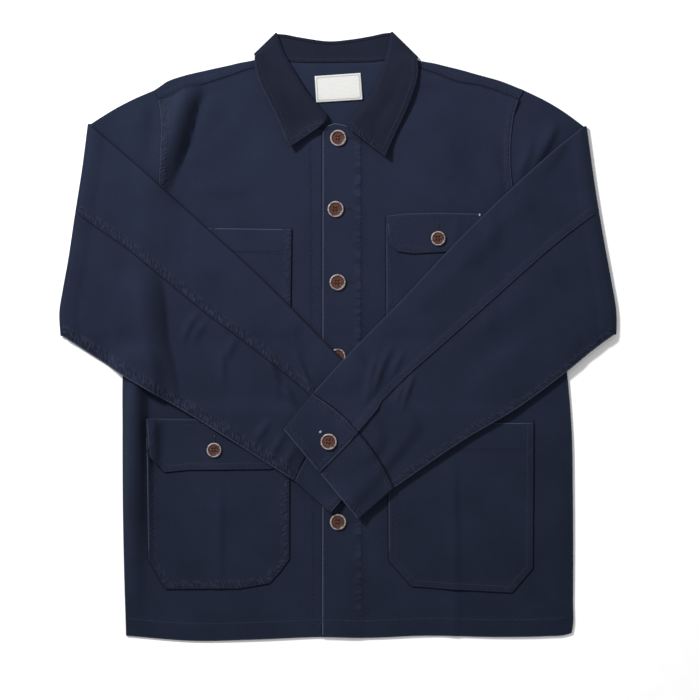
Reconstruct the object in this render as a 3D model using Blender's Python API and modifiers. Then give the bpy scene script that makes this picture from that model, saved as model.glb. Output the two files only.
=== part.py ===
"""Chore jacket of cotton canvas, lying flat and face up, with both sleeves folded in at
their outer edges and crossed over the front, the wearer's left sleeve on top.

Every piece that is cut and sewn is its own object. Plan positions are millimetres, with
X to the wearer's left and Y towards the collar. A piece is a grid of points half way
through its cloth, which Solidify gives its wall. The pieces are laid one after another:
a raster of heights keeps what already lies on the table, and the next piece rests on it.
"""
import math

import bmesh
import bpy
import numpy as np

# Driving dimensions, millimetres.
MM = 0.001               # the model's unit is the metre
WALL = 1.0               # one thickness of cloth
CUFF_WALL = 1.8          # a cuff is two thicknesses, turned and stitched together
LABEL_WALL = 1.0
GAP = 0.3                # air between two pieces that touch
SEAM = 0.35              # air between two pieces sewn edge to edge
ARM_SEAM = 0.5           # the same where the sleeve is set in round the armhole
PLY = WALL + GAP         # from the middle of one layer to the middle of the next
EDGE = PLY / 2 + WALL / 2        # a doubled edge reaches this far past its last flat point
FOLD_INNER = 1.6         # radius of the inner layer where a sleeve is folded back
FOLD_OUTER = FOLD_INNER + PLY
COLLAR_TURN = 1.5 * PLY  # radius of the collar's leaf where it turns to the back
ROLL_HEM = 3.0           # how far the leaf turns in past the roll line
HEM_SET_BACK = 2.0       # the back ends this much above the front's hem
BUTTON_DIAMETER = 20.5
FLAP_BUTTON_DIAMETER = 18.5
BUTTON_HEIGHT = 3.0

# Beyond the edge of what it covers a laid piece stays up, and then slopes down.
DRAPE = {               # stays up over this, slopes down over twice this
    "panel": (20.0, 15.0),
    "patch": (7.5, 5.0),
    "collar": (7.5, 7.5),
    "sleeve": (20.0, 17.5),
}

# Shares of the armhole, from the shoulder to the armpit, at which grids have their lines:
# the forward shoulder seam and the sleeve's back seam are two of them.
SHOULDER_SEAM_SHARE = 0.047
BACK_SEAM_SHARE = 0.42
BACK_SEAM_DRIFT = {      # share of the way to the cuff, and how far the seam has moved down
    "right": [(0.0, 0.004), (0.2, -0.015), (0.5, -0.002), (0.8, -0.038), (1.0, -0.045)],
    "left": [(0.0, -0.006), (0.2, -0.015), (0.75, -0.01), (0.9, 0.01), (1.0, 0.037)],
}
ARM_SHARES = np.r_[0.0, np.linspace(SHOULDER_SEAM_SHARE, BACK_SEAM_SHARE, 4),
                   np.linspace(BACK_SEAM_SHARE, 1.0, 5)[1:]]
SIDE_ROWS = 6
SHOULDER_COLUMNS = 5
TURN_STEPS = 4
SLEEVE_OUT_STATIONS = 2
SLEEVE_FOLD_STEPS = 6
SLEEVE_CROSS_STATIONS = 15
ROUNDS_OFF_BY = 0.3      # share of the way to the cuff at which the fold's curve has gone
SETTLES_BY = 0.25        # the same for the height of the fold
BOWS_FROM = 0.7          # and where the stations begin to take on the cuff seam's bow

# Outlines in plan, rows of (x, y). "right" and "left" are the wearer's.
HEM_BACK = [(-264, -373), (-174, -378), (1, -374), (139, -371.5), (286, -370.5)]
SIDE = {
    "right": [(-264, -373), (-266, -298), (-267.5, -204), (-269.5, -111), (-269.5, -44),
              (-260, 31)],
    "left": [(286, -370.5), (291, -329), (290.5, -204), (289, -111), (285.5, -54), (276, 27)],
}
ARMHOLE = {             # from the shoulder down to the armpit
    "right": [(-227.5, 307), (-223.5, 295), (-219, 264), (-219, 235), (-222, 190.5),
              (-230, 127), (-244, 77), (-260, 31)],
    "left": [(230, 304.5), (221, 288), (214.5, 255), (213, 220), (216, 184.5), (231, 127),
             (252.5, 77), (276, 27)],
}
SHOULDER = {            # the silhouette, from the armhole up to the neck point
    "right": [(-227.5, 307), (-212.5, 317.5), (-197, 323), (-162, 331.5), (-107.5, 343),
              (-87.5, 347.5)],
    "left": [(230, 304.5), (201, 317.5), (176, 325), (151, 332), (100, 343), (81, 347)],
}
FORWARD_SEAM = {        # where the back, turned over the shoulder, meets the front
    "right": [(-209, 298.5), (-190, 308), (-164, 315), (-135.5, 324), (-106, 333.5)],
    "left": [(200, 304.5), (176, 312), (151, 316), (126, 325), (101, 333)],
}
FORWARD_SEAM_END = (0.0, -11.0)  # its last point from the side of the neck, below the collar
FRONT_HEM = {
    "right": [(-264, -373), (-174, -379.5), (-111, -378), (-14.5, -374.5), (13.5, -374.5)],
    "left": [(-20, -374.5), (39, -375.5), (101, -373), (201, -374.5), (286, -370.5)],
}
FRONT_NECK_END = {      # past the end of the collar stand, to the closure's top corner
    "right": [(-5, 254), (13.5, 253)],
    "left": [(6, 263), (-4, 265), (-13.5, 262), (-19.5, 254)],
}
SLEEVE_FOLD = {         # outermost line of the folded sleeve, from its top edge down
    "right": [(-312, 264.5), (-319, 209.5), (-328, 152), (-337.5, 89), (-347.5, 29), (-344, 2)],
    "left": [(309, 261.5), (319.5, 185.5), (332.5, 108), (340, 70), (348, 20), (342, 1)],
}
SLEEVE_TOP_EDGE = {     # of the part that crosses the front, from the fold to the cuff
    "right": [(-312, 264.5), (-286, 242.5), (-235, 199.5), (-172.5, 143.5), (-107.5, 84.5),
              (-5, -18), (41, -64.5)],
    "left": [(309, 261.5), (277.5, 237), (217.5, 185.5), (154, 124.5), (76, 42), (9.5, -25.5),
             (-32, -71)],
}
SLEEVE_LOWER_EDGE = {
    "right": [(-344, 2), (-321, -13), (-270, -47), (-161, -112), (-55, -179.5)],
    "left": [(342, 1), (289, -42), (226, -87), (155, -129.5), (69.5, -188)],
}
CUFF_FREE_EDGE = {      # top corner, lower corner
    "right": [(82.5, -109.5), (-10, -219.5)],
    "left": [(-68, -115), (25, -227)],
}
CUFF_SEAM_BOW = 12.0    # the cuff's seam bows this far towards the sleeve in its middle
CUFF_UNDER_END = (0.30, 0.5, 0.75, 1.0)  # shares across, from the end below the tab
CUFF_HIDDEN_SIDE = (1.0, 0.75, 0.5, 0.25, 0.0)
CUFF_TAB = [            # share across, layers above the hidden side, out to the tab's end
    (0.0, 1.0), (0.12, 1.45), (0.25, 2.0), (0.36, 2.0), (0.48, 2.0),
]
CUFF_ROWS = 4
CUFF_BUTTON_ACROSS = 0.353
CUFF_BUTTON_UP = 33.5   # from the cuff's free edge

# The collar, station by station round the neck: the roll line, the leaf's outer edge and
# the neck seam, each (x, y). A wing runs from the closure up to the side of the neck.
COLLAR_WING = {
    "right": [
        # roll_x, roll_y, leaf_x, leaf_y, seam_x, seam_y
        (-20.0, 262.0, -61.0, 234.0, -26.0, 259.0),
        (-14.0, 273.0, -66.5, 247.0, -31.0, 262.0),
        (-26.0, 288.0, -76.0, 270.5, -43.0, 271.0),
        (-41.0, 307.0, -88.0, 295.0, -60.0, 287.0),
        (-55.0, 330.5, -98.0, 315.0, -75.0, 308.0),
        (-67.0, 352.0, -103.5, 335.0, -83.5, 327.0),
        (-76.0, 378.0, -104.0, 349.5, -87.5, 346.5),
    ],
    "left": [
        (12.5, 257.0, 58.5, 222.0, 15.0, 259.5),
        (15.5, 271.0, 62.5, 233.0, 22.0, 261.0),
        (29.0, 286.0, 70.5, 251.0, 40.0, 270.0),
        (44.0, 306.0, 81.5, 274.0, 57.0, 286.0),
        (53.0, 330.0, 92.5, 301.5, 71.5, 306.0),
        (60.0, 352.0, 99.0, 326.0, 79.5, 328.0),
        (65.0, 379.5, 98.0, 345.5, 81.5, 346.0),
    ],
}
COLLAR_BACK = [         # from the right side of the neck to the left
    (-76.0, 378.0, -104.0, 349.5, -87.5, 346.5),
    (-64.0, 375.5, -84.0, 327.0, -73.5, 343.0),
    (-49.0, 372.5, -58.0, 321.0, -49.0, 340.5),
    (-14.0, 367.5, -15.0, 318.0, -14.0, 340.0),
    (14.0, 369.5, 15.0, 318.0, 14.0, 340.5),
    (39.0, 373.5, 50.0, 321.0, 40.0, 341.0),
    (55.0, 377.0, 76.0, 327.0, 63.0, 343.5),
    (65.0, 379.5, 98.0, 345.5, 81.5, 346.0),
]
WING_STATIONS = 7
NECK_STATIONS = 9

# Patches: their four sides as bent lines, left and right upwards, the others to the left.
PATCHES = {
    "chest_pocket_right": {
        "bottom": [(-165.5, 23), (-59.5, 20.5)],
        "top": [(-165.5, 134.5), (-58, 133)],
    },
    "chest_pocket_left": {
        "bottom": [(60, 23), (179, 23)],
        "top": [(59.5, 146), (179, 148)],
    },
    "hip_pocket_right": {
        "bottom": [(-236, -278), (-221, -305.5), (-214.5, -315), (-124, -314.5), (-86, -308),
                   (-74, -295.5), (-61, -278)],
        "top": [(-237.5, -109), (-60.5, -109)],
    },
    "hip_pocket_left": {
        "bottom": [(63, -279.5), (91, -311.5), (142.5, -315.5), (216, -319.5), (242, -289)],
        "top": [(61.5, -108), (243, -108)],
    },
    "chest_flap_left": {
        "bottom": [(64, 114), (74.5, 105), (93.5, 102.5), (138, 105), (164, 107), (174, 115.5)],
        "top": [(60, 149.5), (82.5, 152.5), (126, 153.5), (179, 152)],
    },
    "hip_flap_right": {
        "bottom": [(-234, -149.5), (-216, -169.5), (-187.5, -166.5), (-86, -165.5),
                   (-71, -162), (-62.5, -148)],
        "top": [(-237.5, -102.5), (-60, -104.5)],
    },
}
LABEL_CORNERS = {"bottom": [(-27.5, 291), (30, 294.5)], "top": [(-29.5, 325.5), (27.5, 329.5)]}

BUTTONS = [             # name, x, y, diameter
    ("front_button_1", -1.0, 248.0, BUTTON_DIAMETER),
    ("front_button_2", -3.5, 158.0, BUTTON_DIAMETER),
    ("front_button_3", -1.0, 67.0, BUTTON_DIAMETER),
    ("front_button_4", -1.0, -25.5, BUTTON_DIAMETER),
    ("front_button_5", -1.0, -128.0, BUTTON_DIAMETER),
    ("front_button_6", -0.5, -231.0, BUTTON_DIAMETER),
    ("flap_button_chest", 124.0, 121.5, FLAP_BUTTON_DIAMETER),
    ("flap_button_hip", -154.5, -141.5, FLAP_BUTTON_DIAMETER),
]
BUTTON_PROFILE = [      # share of the radius, share of the height, down the outer side
    (0.0, 0.62), (0.5, 0.62), (0.66, 0.9), (0.85, 1.0), (1.0, 0.6), (0.9, 0.12), (0.0, 0.0),
]
BUTTON_STEPS = 14

FOLD_BEYOND = 0.25      # share of its length by which a fold dies away past each end
FOLD_FADE = 0.4         # share of its length over which it does so
FOLDS = [               # the largest soft folds
    # piece, x0, y0, x1, y1, height, half_width
    ("front_right", -196.0, 285.0, -217.0, 175.0, 3.0, 13.0),
    ("front_right", -158.0, 292.0, -196.0, 178.0, 2.5, 15.0),
    ("front_left", 178.0, 285.0, 196.0, 190.0, 2.0, 15.0),
    ("sleeve_out_left", 248.0, 240.0, 228.0, 180.0, 2.0, 13.0),
    ("sleeve_out_right", -255.0, 250.0, -240.0, 150.0, 2.0, 15.0),
    ("sleeve_cross_right", -195.0, -5.0, -182.0, 35.0, 2.5, 20.0),
    ("sleeve_cross_left", 75.0, -60.0, 25.0, -95.0, 2.0, 18.0),
]

NAVY = (0.018, 0.026, 0.050)
OFF_WHITE = (0.78, 0.78, 0.74)
BROWN = (0.115, 0.040, 0.022)


# ---------------------------------------------------------------- curves and grids

def through(rows, knots, places):
    """Smooth curve that meets each row at its knot, read at the places: cubic spans whose
    slope at a knot is that between its neighbours."""
    rows = np.asarray(rows, float)
    slope = np.gradient(rows, knots, axis=0)
    span = np.clip(np.searchsorted(knots, places, side="right") - 1, 0, len(knots) - 2)
    width = (knots[span + 1] - knots[span])[:, None]
    t = (places - knots[span])[:, None] / width
    ends = (1 + 2 * t) * (1 - t) ** 2 * rows[span] + t * t * (3 - 2 * t) * rows[span + 1]
    return ends + width * (t * (1 - t) ** 2 * slope[span] - t * t * (1 - t) * slope[span + 1])


def chord_shares(points):
    """Share of the way along a line of points at which each of them lies."""
    steps = np.linalg.norm(np.diff(np.asarray(points, float), axis=0), axis=1)
    travelled = np.r_[0.0, np.cumsum(steps)]
    return travelled / travelled[-1]


def curve(points, shares):
    """Points of the smooth curve through hand-set points, at shares of its length."""
    return through(points, chord_shares(points), np.asarray(shares, float))


def bent(points, shares):
    """Points of the straight-sided line through hand-set points."""
    points = np.asarray(points, float)
    knots = chord_shares(points)
    return np.stack([np.interp(shares, knots, column) for column in points.T], axis=1)


def even_shares(points, count):
    """Evenly spread shares, the nearest one moved onto each hand-set point."""
    shares = np.linspace(0.0, 1.0, count + 1)
    for knot in chord_shares(points)[1:-1]:
        shares[1 + np.abs(shares[1:-1] - knot).argmin()] = knot
    return shares


def patch(bottom, top, left, right):
    """Grid between four sides: each point adds the blends across and up, less the corners."""
    height = 0.5 * (left[:, 1] + right[:, 1])
    t = ((height - height[0]) / (height[-1] - height[0]))[:, None, None]
    across = np.linspace(0.0, 1.0, len(bottom))
    reach = (bottom[:, 0] - bottom[0, 0]) / (bottom[-1, 0] - bottom[0, 0])
    s = (0.5 * (across + reach))[None, :, None]
    ruled = (1 - t) * bottom[None] + t * top[None]
    sides = (1 - s) * left[:, None] + s * right[:, None]
    corners = ((1 - t) * ((1 - s) * bottom[0] + s * bottom[-1])
               + t * ((1 - s) * top[0] + s * top[-1]))
    return ruled + sides - corners


def normals_of(line, outward):
    """Level unit normals of a plan line, turned to the side that outward points to."""
    tangent = np.gradient(line, axis=0)
    tangent /= np.linalg.norm(tangent, axis=1)[:, None]
    normal = np.stack([-tangent[:, 1], tangent[:, 0]], axis=1)
    return normal * np.sign(normal @ np.asarray(outward, float))[:, None]


def ease(share):
    """Smooth step from 0 to 1."""
    share = np.clip(share, 0.0, 1.0)
    return share * share * (3 - 2 * share)


def fold_height(piece, x, y):
    """Height of the soft folds of a piece: a rounded ridge along each fold's line, which
    dies away towards its ends."""
    height = np.zeros_like(x)
    for name, x0, y0, x1, y1, top, half_width in FOLDS:
        if name != piece:
            continue
        length = math.hypot(x1 - x0, y1 - y0)
        along = ((x - x0) * (x1 - x0) + (y - y0) * (y1 - y0)) / length ** 2
        aside = ((x - x0) * (y1 - y0) - (y - y0) * (x1 - x0)) / length
        taper = ease((along + FOLD_BEYOND) / FOLD_FADE)
        taper = taper * ease((1 + FOLD_BEYOND - along) / FOLD_FADE)
        height = height + top * np.exp(-(aside / half_width) ** 2) * taper
    return height


# ---------------------------------------------------------------- the heap

class Heap:
    """Highest point of what already lies on the table, in each cell of a square raster."""

    CELL = 2.5
    SAMPLE = 0.45 * CELL     # a piece is noted at points no further apart than this
    HALF_WIDTH = 400.0
    HALF_LENGTH = 440.0

    def __init__(self):
        columns = round(2 * self.HALF_WIDTH / self.CELL)
        rows = round(2 * self.HALF_LENGTH / self.CELL)
        self.top = np.full((rows, columns), -GAP)

    def lay(self, grid, wall=WALL):
        """Note the upper face of a grid of points half way through a wall. Between four
        points the cloth follows the upper one of the two ways to halve them."""
        place = []
        for axis in (0, 1):
            longest = np.linalg.norm(np.diff(grid, axis=axis), axis=2).max()
            parts = math.ceil(longest / self.SAMPLE)
            spans = grid.shape[axis] - 1
            at = np.linspace(0.0, spans, spans * parts + 1)
            low = np.minimum(at.astype(int), spans - 1)
            place.append((low, at - low))
        (r, v), (c, u) = place
        v = v[:, None]
        u = u[None, :]
        corners = (grid[r][:, c], grid[r][:, c + 1], grid[r + 1][:, c], grid[r + 1][:, c + 1])
        weights = ((1 - v) * (1 - u), (1 - v) * u, v * (1 - u), v * u)
        x, y = (sum(weight * corner[..., i] for weight, corner in zip(weights, corners))
                for i in (0, 1))
        z00, z01, z10, z11 = (corner[..., 2] for corner in corners)
        one = np.where(u > v, z00 + u * (z01 - z00) + v * (z11 - z01),
                       z00 + v * (z10 - z00) + u * (z11 - z10))
        other = np.where(u + v < 1, z00 + u * (z01 - z00) + v * (z10 - z00),
                         z11 + (1 - u) * (z10 - z11) + (1 - v) * (z01 - z11))
        column = ((x + self.HALF_WIDTH) / self.CELL).astype(int)
        row = ((y + self.HALF_LENGTH) / self.CELL).astype(int)
        np.maximum.at(self.top, (row, column), np.maximum(one, other) + wall / 2)

    def rest(self, kind):
        """Height at which the next piece lies, as a function of x and y: the highest point
        nearby, then averaged over less than that distance, so never below the heap."""
        stays_up, slope = (round(value / self.CELL) for value in DRAPE[kind])
        reach = stays_up + slope
        padded = np.pad(self.top, reach, mode="edge")
        rows, columns = self.top.shape
        high = self.top
        for i in range(-reach, reach + 1):
            for j in range(-reach, reach + 1):
                if i * i + j * j <= reach * reach:
                    window = padded[reach + i:reach + i + rows, reach + j:reach + j + columns]
                    high = np.maximum(high, window)
        weights = 1 + np.cos(np.linspace(-math.pi, math.pi, 2 * slope + 3)[1:-1])
        weights /= weights.sum()
        for axis in (0, 1):
            width = [(slope, slope) if axis == side else (0, 0) for side in (0, 1)]
            padded = np.pad(high, width, mode="edge")
            count = high.shape[axis]
            high = sum(weight * padded.take(range(i, i + count), axis)
                       for i, weight in enumerate(weights))

        def height(x, y):
            """The height between the four cells nearest to each point."""
            column = np.clip((x + self.HALF_WIDTH) / self.CELL - 0.5, 0, columns - 1.001)
            row = np.clip((y + self.HALF_LENGTH) / self.CELL - 0.5, 0, rows - 1.001)
            c = column.astype(int)
            r = row.astype(int)
            u = column - c
            v = row - r
            near = (1 - u) * high[r, c] + u * high[r, c + 1]
            far = (1 - u) * high[r + 1, c] + u * high[r + 1, c + 1]
            return (1 - v) * near + v * far

        return height

    def disc(self, x, y, radius):
        """Offsets of the cells' middles from a point, and which of them a disc covers."""
        rows, columns = np.indices(self.top.shape)
        dx = (columns + 0.5) * self.CELL - self.HALF_WIDTH - x
        dy = (rows + 0.5) * self.CELL - self.HALF_LENGTH - y
        return dx, dy, dx * dx + dy * dy <= (radius + self.CELL) ** 2

    def lay_disc(self, x, y, radius, height):
        """Note a round piece with a level top."""
        inside = self.disc(x, y, radius)[2]
        self.top[inside] = np.maximum(self.top[inside], height)

    def under(self, x, y, radius):
        """Highest point below a disc, and the slope of the heap there along x and y."""
        dx, dy, inside = self.disc(x, y, radius)
        terms = np.stack([dx[inside], dy[inside], np.ones(inside.sum())], axis=1)
        plane = np.linalg.lstsq(terms, self.top[inside], rcond=None)[0]
        above = (self.top[inside] - terms @ plane).max()
        return plane[2] + above, plane[0], plane[1]


def laid(plan, rest, wall=WALL, piece=""):
    """Grid of a piece laid on the heap: its plan, half its wall above the gap."""
    x = plan[..., 0]
    y = plan[..., 1]
    z = rest(x, y) + GAP + wall / 2 + fold_height(piece, x, y)
    return np.stack([x, y, z], axis=-1)


# ---------------------------------------------------------------- objects

def finish(name, colour, roughness):
    """The material of one piece."""
    material = bpy.data.materials.new(name)
    material.use_nodes = True
    shader = material.node_tree.nodes["Principled BSDF"]
    shader.inputs["Base Color"].default_value = (*colour, 1.0)
    shader.inputs["Roughness"].default_value = roughness
    shader.inputs["Metallic"].default_value = 0.0
    return material


def add_object(name, mesh, colour=NAVY, roughness=0.9):
    """Put a mesh into the jacket's collection under its own name and material."""
    mesh.materials.append(finish(name + "_finish", colour, roughness))
    piece = bpy.data.objects.new(name, mesh)
    JACKET.objects.link(piece)
    piece.parent = ORIGIN
    return piece


def add_cloth(name, grids, wall=WALL, colour=NAVY):
    """One piece of cloth from grids that share their borders, with its wall."""
    points = []
    faces = []
    for grid in grids:
        rows, columns = grid.shape[:2]
        index = sum(len(part) for part in points) + np.arange(rows * columns)
        index = index.reshape(rows, columns)
        a, b, c, d = index[:-1, :-1], index[:-1, 1:], index[1:, 1:], index[1:, :-1]
        z = grid[..., 2]
        first = (z[:-1, :-1] + z[1:, 1:] >= z[:-1, 1:] + z[1:, :-1] - 1e-6)[..., None]
        one = np.where(first, np.stack([a, b, c], axis=-1), np.stack([a, b, d], axis=-1))
        other = np.where(first, np.stack([a, c, d], axis=-1), np.stack([b, c, d], axis=-1))
        points.append(grid.reshape(-1, 3))
        faces.extend(np.concatenate([one, other]).reshape(-1, 3).tolist())
    mesh = bpy.data.meshes.new(name)
    mesh.from_pydata((np.concatenate(points) * MM).tolist(), [], faces)
    sheet = bmesh.new()
    sheet.from_mesh(mesh)
    bmesh.ops.remove_doubles(sheet, verts=sheet.verts, dist=0.01 * MM)
    bmesh.ops.recalc_face_normals(sheet, faces=sheet.faces)
    sheet.to_mesh(mesh)
    sheet.free()
    mesh.shade_smooth()
    piece = add_object(name, mesh, colour)
    shell = piece.modifiers.new("wall", "SOLIDIFY")
    shell.thickness = wall * MM
    shell.offset = 0.0
    shell.use_even_offset = True
    return piece


def add_button(name, x, y, diameter, heap):
    """A dished button with a rim, turned from its profile and laid level with the cloth."""
    radius = diameter / 2
    profile = [(share * radius * MM, 0.0, height * BUTTON_HEIGHT * MM)
               for share, height in BUTTON_PROFILE]
    mesh = bpy.data.meshes.new(name)
    mesh.from_pydata(profile, [(i, i + 1) for i in range(len(profile) - 1)], [])
    button = add_object(name, mesh, BROWN, 0.45)
    turning = button.modifiers.new("turning", "SCREW")
    turning.axis = "Z"
    turning.steps = BUTTON_STEPS
    turning.render_steps = BUTTON_STEPS
    turning.use_merge_vertices = True
    turning.merge_threshold = 0.01 * MM
    height, slope_x, slope_y = heap.under(x, y, radius)
    heap.lay_disc(x, y, radius, height + GAP + BUTTON_HEIGHT)
    button.location = (x * MM, y * MM, (height + GAP) * MM)
    button.rotation_euler = (math.atan(slope_y), -math.atan(slope_x), 0.0)
    return button


# ---------------------------------------------------------------- collar

def collar_lines(table, count):
    """Roll line, leaf edge and neck seam at evenly spaced stations of a table."""
    rows = np.asarray(table, float)
    knots = np.linspace(0.0, 1.0, len(rows))
    station = through(rows, knots, np.linspace(0.0, 1.0, count + 1))
    return station[:, 0:2], station[:, 2:4], station[:, 4:6]


def unit(vectors):
    """Vectors of the same direction and of length one."""
    return vectors / np.linalg.norm(vectors, axis=-1)[..., None]


LEAF_SHARES = (1.0, 0.62, 0.3)               # of the leaf's width, from its outer edge
ROLL_DEGREES = (90.0, 30.0, -30.0, -90.0)    # round the roll at the top of the collar


def leaf_section(length):
    """The leaf across its width: distance from the roll line and layer, from the outer edge
    over the roll and in to the turned edge."""
    half = PLY / 2
    section = [(share * length, COLLAR_TURN) for share in LEAF_SHARES]
    for degrees in ROLL_DEGREES:
        angle = math.radians(degrees)
        section.append((EDGE - half * math.cos(angle), COLLAR_TURN - half + half * math.sin(angle)))
    section.append((EDGE + ROLL_HEM, COLLAR_TURN - PLY))
    return section


def leaf_rows(roll, leaf, turn_degrees, side_normal, height):
    """Grid of the leaf over stations: each turned about its line by its own angle."""
    direction = unit(leaf - roll)
    length = np.linalg.norm(leaf - roll, axis=1)
    sections = np.array([leaf_section(one) for one in length])
    across = sections[..., 0]
    layer = sections[..., 1]
    plan = roll[:, None] + direction[:, None] * across[..., None]
    turn = np.radians(np.asarray(turn_degrees, float))[:, None]
    plan = plan + side_normal[:, None] * (layer * np.cos(turn))[..., None]
    z = height(plan, turn, layer)
    return np.concatenate([plan, z[..., None]], axis=-1)


# ---------------------------------------------------------------- build

for leftover in list(bpy.data.objects):
    bpy.data.objects.remove(leftover, do_unlink=True)
JACKET = bpy.data.collections.new("chore_jacket")
bpy.context.scene.collection.children.link(JACKET)
ORIGIN = bpy.data.objects.new("laid_on_table", None)
JACKET.objects.link(ORIGIN)

heap = Heap()
LEVEL = [WALL / 2 + PLY * layer for layer in range(4)]    # middles of stacked layers
NECK_AXIS = 0.5 * (LEVEL[0] + LEVEL[3])                   # height about which the neck turns
SIDES = ("right", "left")
OUTWARD = {"right": (-1.0, 0.3), "left": (1.0, 0.3)}


def neck_height(plan, turn, layer):
    """Height of a collar point on the circles about the axis of the neck's turn."""
    return NECK_AXIS + layer * np.sin(turn)


# The collar's back leaf lies lowest, on the table.
back_roll, back_leaf, back_seam = collar_lines(COLLAR_BACK, NECK_STATIONS)
face_down = [-90.0] * len(back_roll)
leaf_back = leaf_rows(back_roll, back_leaf, face_down, np.zeros_like(back_roll), neck_height)
heap.lay(leaf_back[:, :3])

# The back lies on it.
back_rest = heap.rest("panel")


def side_line(side, from_share):
    """Side seam and armhole from the hem up, to a share of the armhole from its top."""
    seam = curve(SIDE[side], even_shares(SIDE[side], SIDE_ROWS))
    shares = ARM_SHARES[ARM_SHARES >= from_share - 1e-9]
    arm = curve(ARMHOLE[side], shares)[::-1]
    return np.concatenate([seam[:-1], arm])


shoulder_edge = {}
shoulder_normal = {}
for side in SIDES:
    line = curve(SHOULDER[side], even_shares(SHOULDER[side], SHOULDER_COLUMNS))
    line[-1] = (COLLAR_BACK[0] if side == "right" else COLLAR_BACK[-1])[4:6]
    shoulder_normal[side] = normals_of(line, (0.0, 1.0))
    shoulder_edge[side] = line - EDGE * shoulder_normal[side]
neck_line = back_seam.copy()
neck_line[0] = shoulder_edge["right"][-1]
neck_line[-1] = shoulder_edge["left"][-1]
back_top = np.concatenate([shoulder_edge["right"][:-1], neck_line,
                           shoulder_edge["left"][::-1][1:]])
back_side = {}
for side in SIDES:
    back_side[side] = side_line(side, 0.0)
    back_side[side][-1] = shoulder_edge[side][0]
spread = 0.5 * (np.linspace(0.0, 1.0, len(back_top))
                + (back_top[:, 0] - back_top[0, 0]) / (back_top[-1, 0] - back_top[0, 0]))
back_hem = curve(HEM_BACK, spread)
back_hem[:, 1] += HEM_SET_BACK
for side, place in (("right", 0), ("left", -1)):
    back_side[side][0] = back_hem[place]
back_plan = patch(back_hem, back_top, back_side["right"], back_side["left"])
back_main = laid(back_plan, back_rest)
heap.lay(back_main)
neck_from = SHOULDER_COLUMNS
neck_to = SHOULDER_COLUMNS + NECK_STATIONS

# The stand's back, between the neck seam and the roll.
STAND_START = EDGE + ROLL_HEM + SEAM


def stand_rows(roll, leaf, seam):
    """Plan of the stand: from beside the leaf's turned edge to the neck seam."""
    start = roll + unit(leaf - roll) * STAND_START
    end = seam - unit(seam - start) * SEAM
    return np.stack([start, 0.5 * (start + end), end], axis=1)


stand_back_plan = stand_rows(back_roll, back_leaf, back_seam)
stand_back = np.concatenate([stand_back_plan, np.full((*stand_back_plan.shape[:2], 1), LEVEL[1])],
                            axis=-1)
heap.lay(stand_back)

# The bare label on the inside of the back.
label_rest = heap.rest("patch")
label_sides = [bent([LABEL_CORNERS["bottom"][i], LABEL_CORNERS["top"][i]],
                    np.linspace(0, 1, 4)) for i in (0, 1)]
label_ends = [bent(LABEL_CORNERS[end], np.linspace(0, 1, 5)) for end in ("bottom", "top")]
label = laid(patch(*label_ends, *label_sides), label_rest, LABEL_WALL)
add_cloth("neck_label", [label], LABEL_WALL, OFF_WHITE)
heap.lay(label, LABEL_WALL)

# Heights of the layer above: fronts, the turned shoulders and the stand's front.
front_rest = heap.rest("panel")


def upper_height(plan):
    """Height of the middle of that layer at points of a plan."""
    return front_rest(plan[..., 0], plan[..., 1]) + GAP + WALL / 2


shoulder_turns = {}
seam_line = {}
for side in SIDES:
    arm_end = curve(ARMHOLE[side], [SHOULDER_SEAM_SHARE])
    neck_end = np.add(COLLAR_WING[side][-1][4:6], FORWARD_SEAM_END)
    ends = np.concatenate([arm_end, np.asarray(FORWARD_SEAM[side], float), neck_end[None]])
    seam_line[side] = curve(ends, even_shares(ends, SHOULDER_COLUMNS))
    edge_columns = (slice(0, neck_from + 1) if side == "right" else slice(neck_to, None))
    lower = back_main[-1, edge_columns]
    lower = lower if side == "right" else lower[::-1]
    rows = []
    top_z = upper_height(lower[:, :2])
    axis_z = 0.5 * (lower[:, 2] + top_z)
    radius = 0.5 * (top_z - lower[:, 2])
    for degrees in np.linspace(-90.0, 90.0, TURN_STEPS + 1):
        angle = math.radians(degrees)
        plan = lower[:, :2] + shoulder_normal[side] * (radius * math.cos(angle))[:, None]
        rows.append(np.column_stack([plan, axis_z + radius * math.sin(angle)]))
    end_plan = seam_line[side] + (0.0, SEAM)
    rows.append(np.column_stack([end_plan, upper_height(end_plan)]))
    shoulder_turns[side] = np.array(rows)
add_cloth("back", [back_main, shoulder_turns["right"], shoulder_turns["left"]])

# Fronts: right first, then the left front over it at the closure.
wing = {side: collar_lines(COLLAR_WING[side], WING_STATIONS) for side in SIDES}
front_grid = {}


def front(side):
    """Grid of a front, from its side seam to its closure edge."""
    neck_seam = wing[side][2][::-1]
    run_in = seam_line[side]
    neck = np.concatenate([run_in[-1:], neck_seam[1:], FRONT_NECK_END[side]])
    top = np.concatenate([run_in[:-1], neck])
    sides = side_line(side, SHOULDER_SEAM_SHARE)
    sides[-1] = top[0]
    travelled = (top[:, 0] - top[0, 0]) / (top[-1, 0] - top[0, 0])
    shares = 0.5 * (np.linspace(0.0, 1.0, len(top)) + travelled)
    if side == "left":
        hem = curve(FRONT_HEM[side], 1 - shares)
    else:
        hem = curve(FRONT_HEM[side], shares)
    sides[0] = hem[0]
    rise = (sides[:, 1] - sides[0, 1]) / (sides[-1, 1] - sides[0, 1])
    closure = hem[-1] + (top[-1] - hem[-1]) * rise[:, None]
    plan = patch(hem, top, sides, closure)
    return laid(plan, front_rest if side == "right" else heap.rest("panel"),
                piece="front_" + side)


def stand_front(side):
    """Grid of the stand's front part, level with the fronts."""
    roll, leaf, seam = wing[side]
    plan = stand_rows(roll, leaf, seam)[1:]
    return np.concatenate([plan, upper_height(plan)[..., None]], axis=-1)


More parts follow.
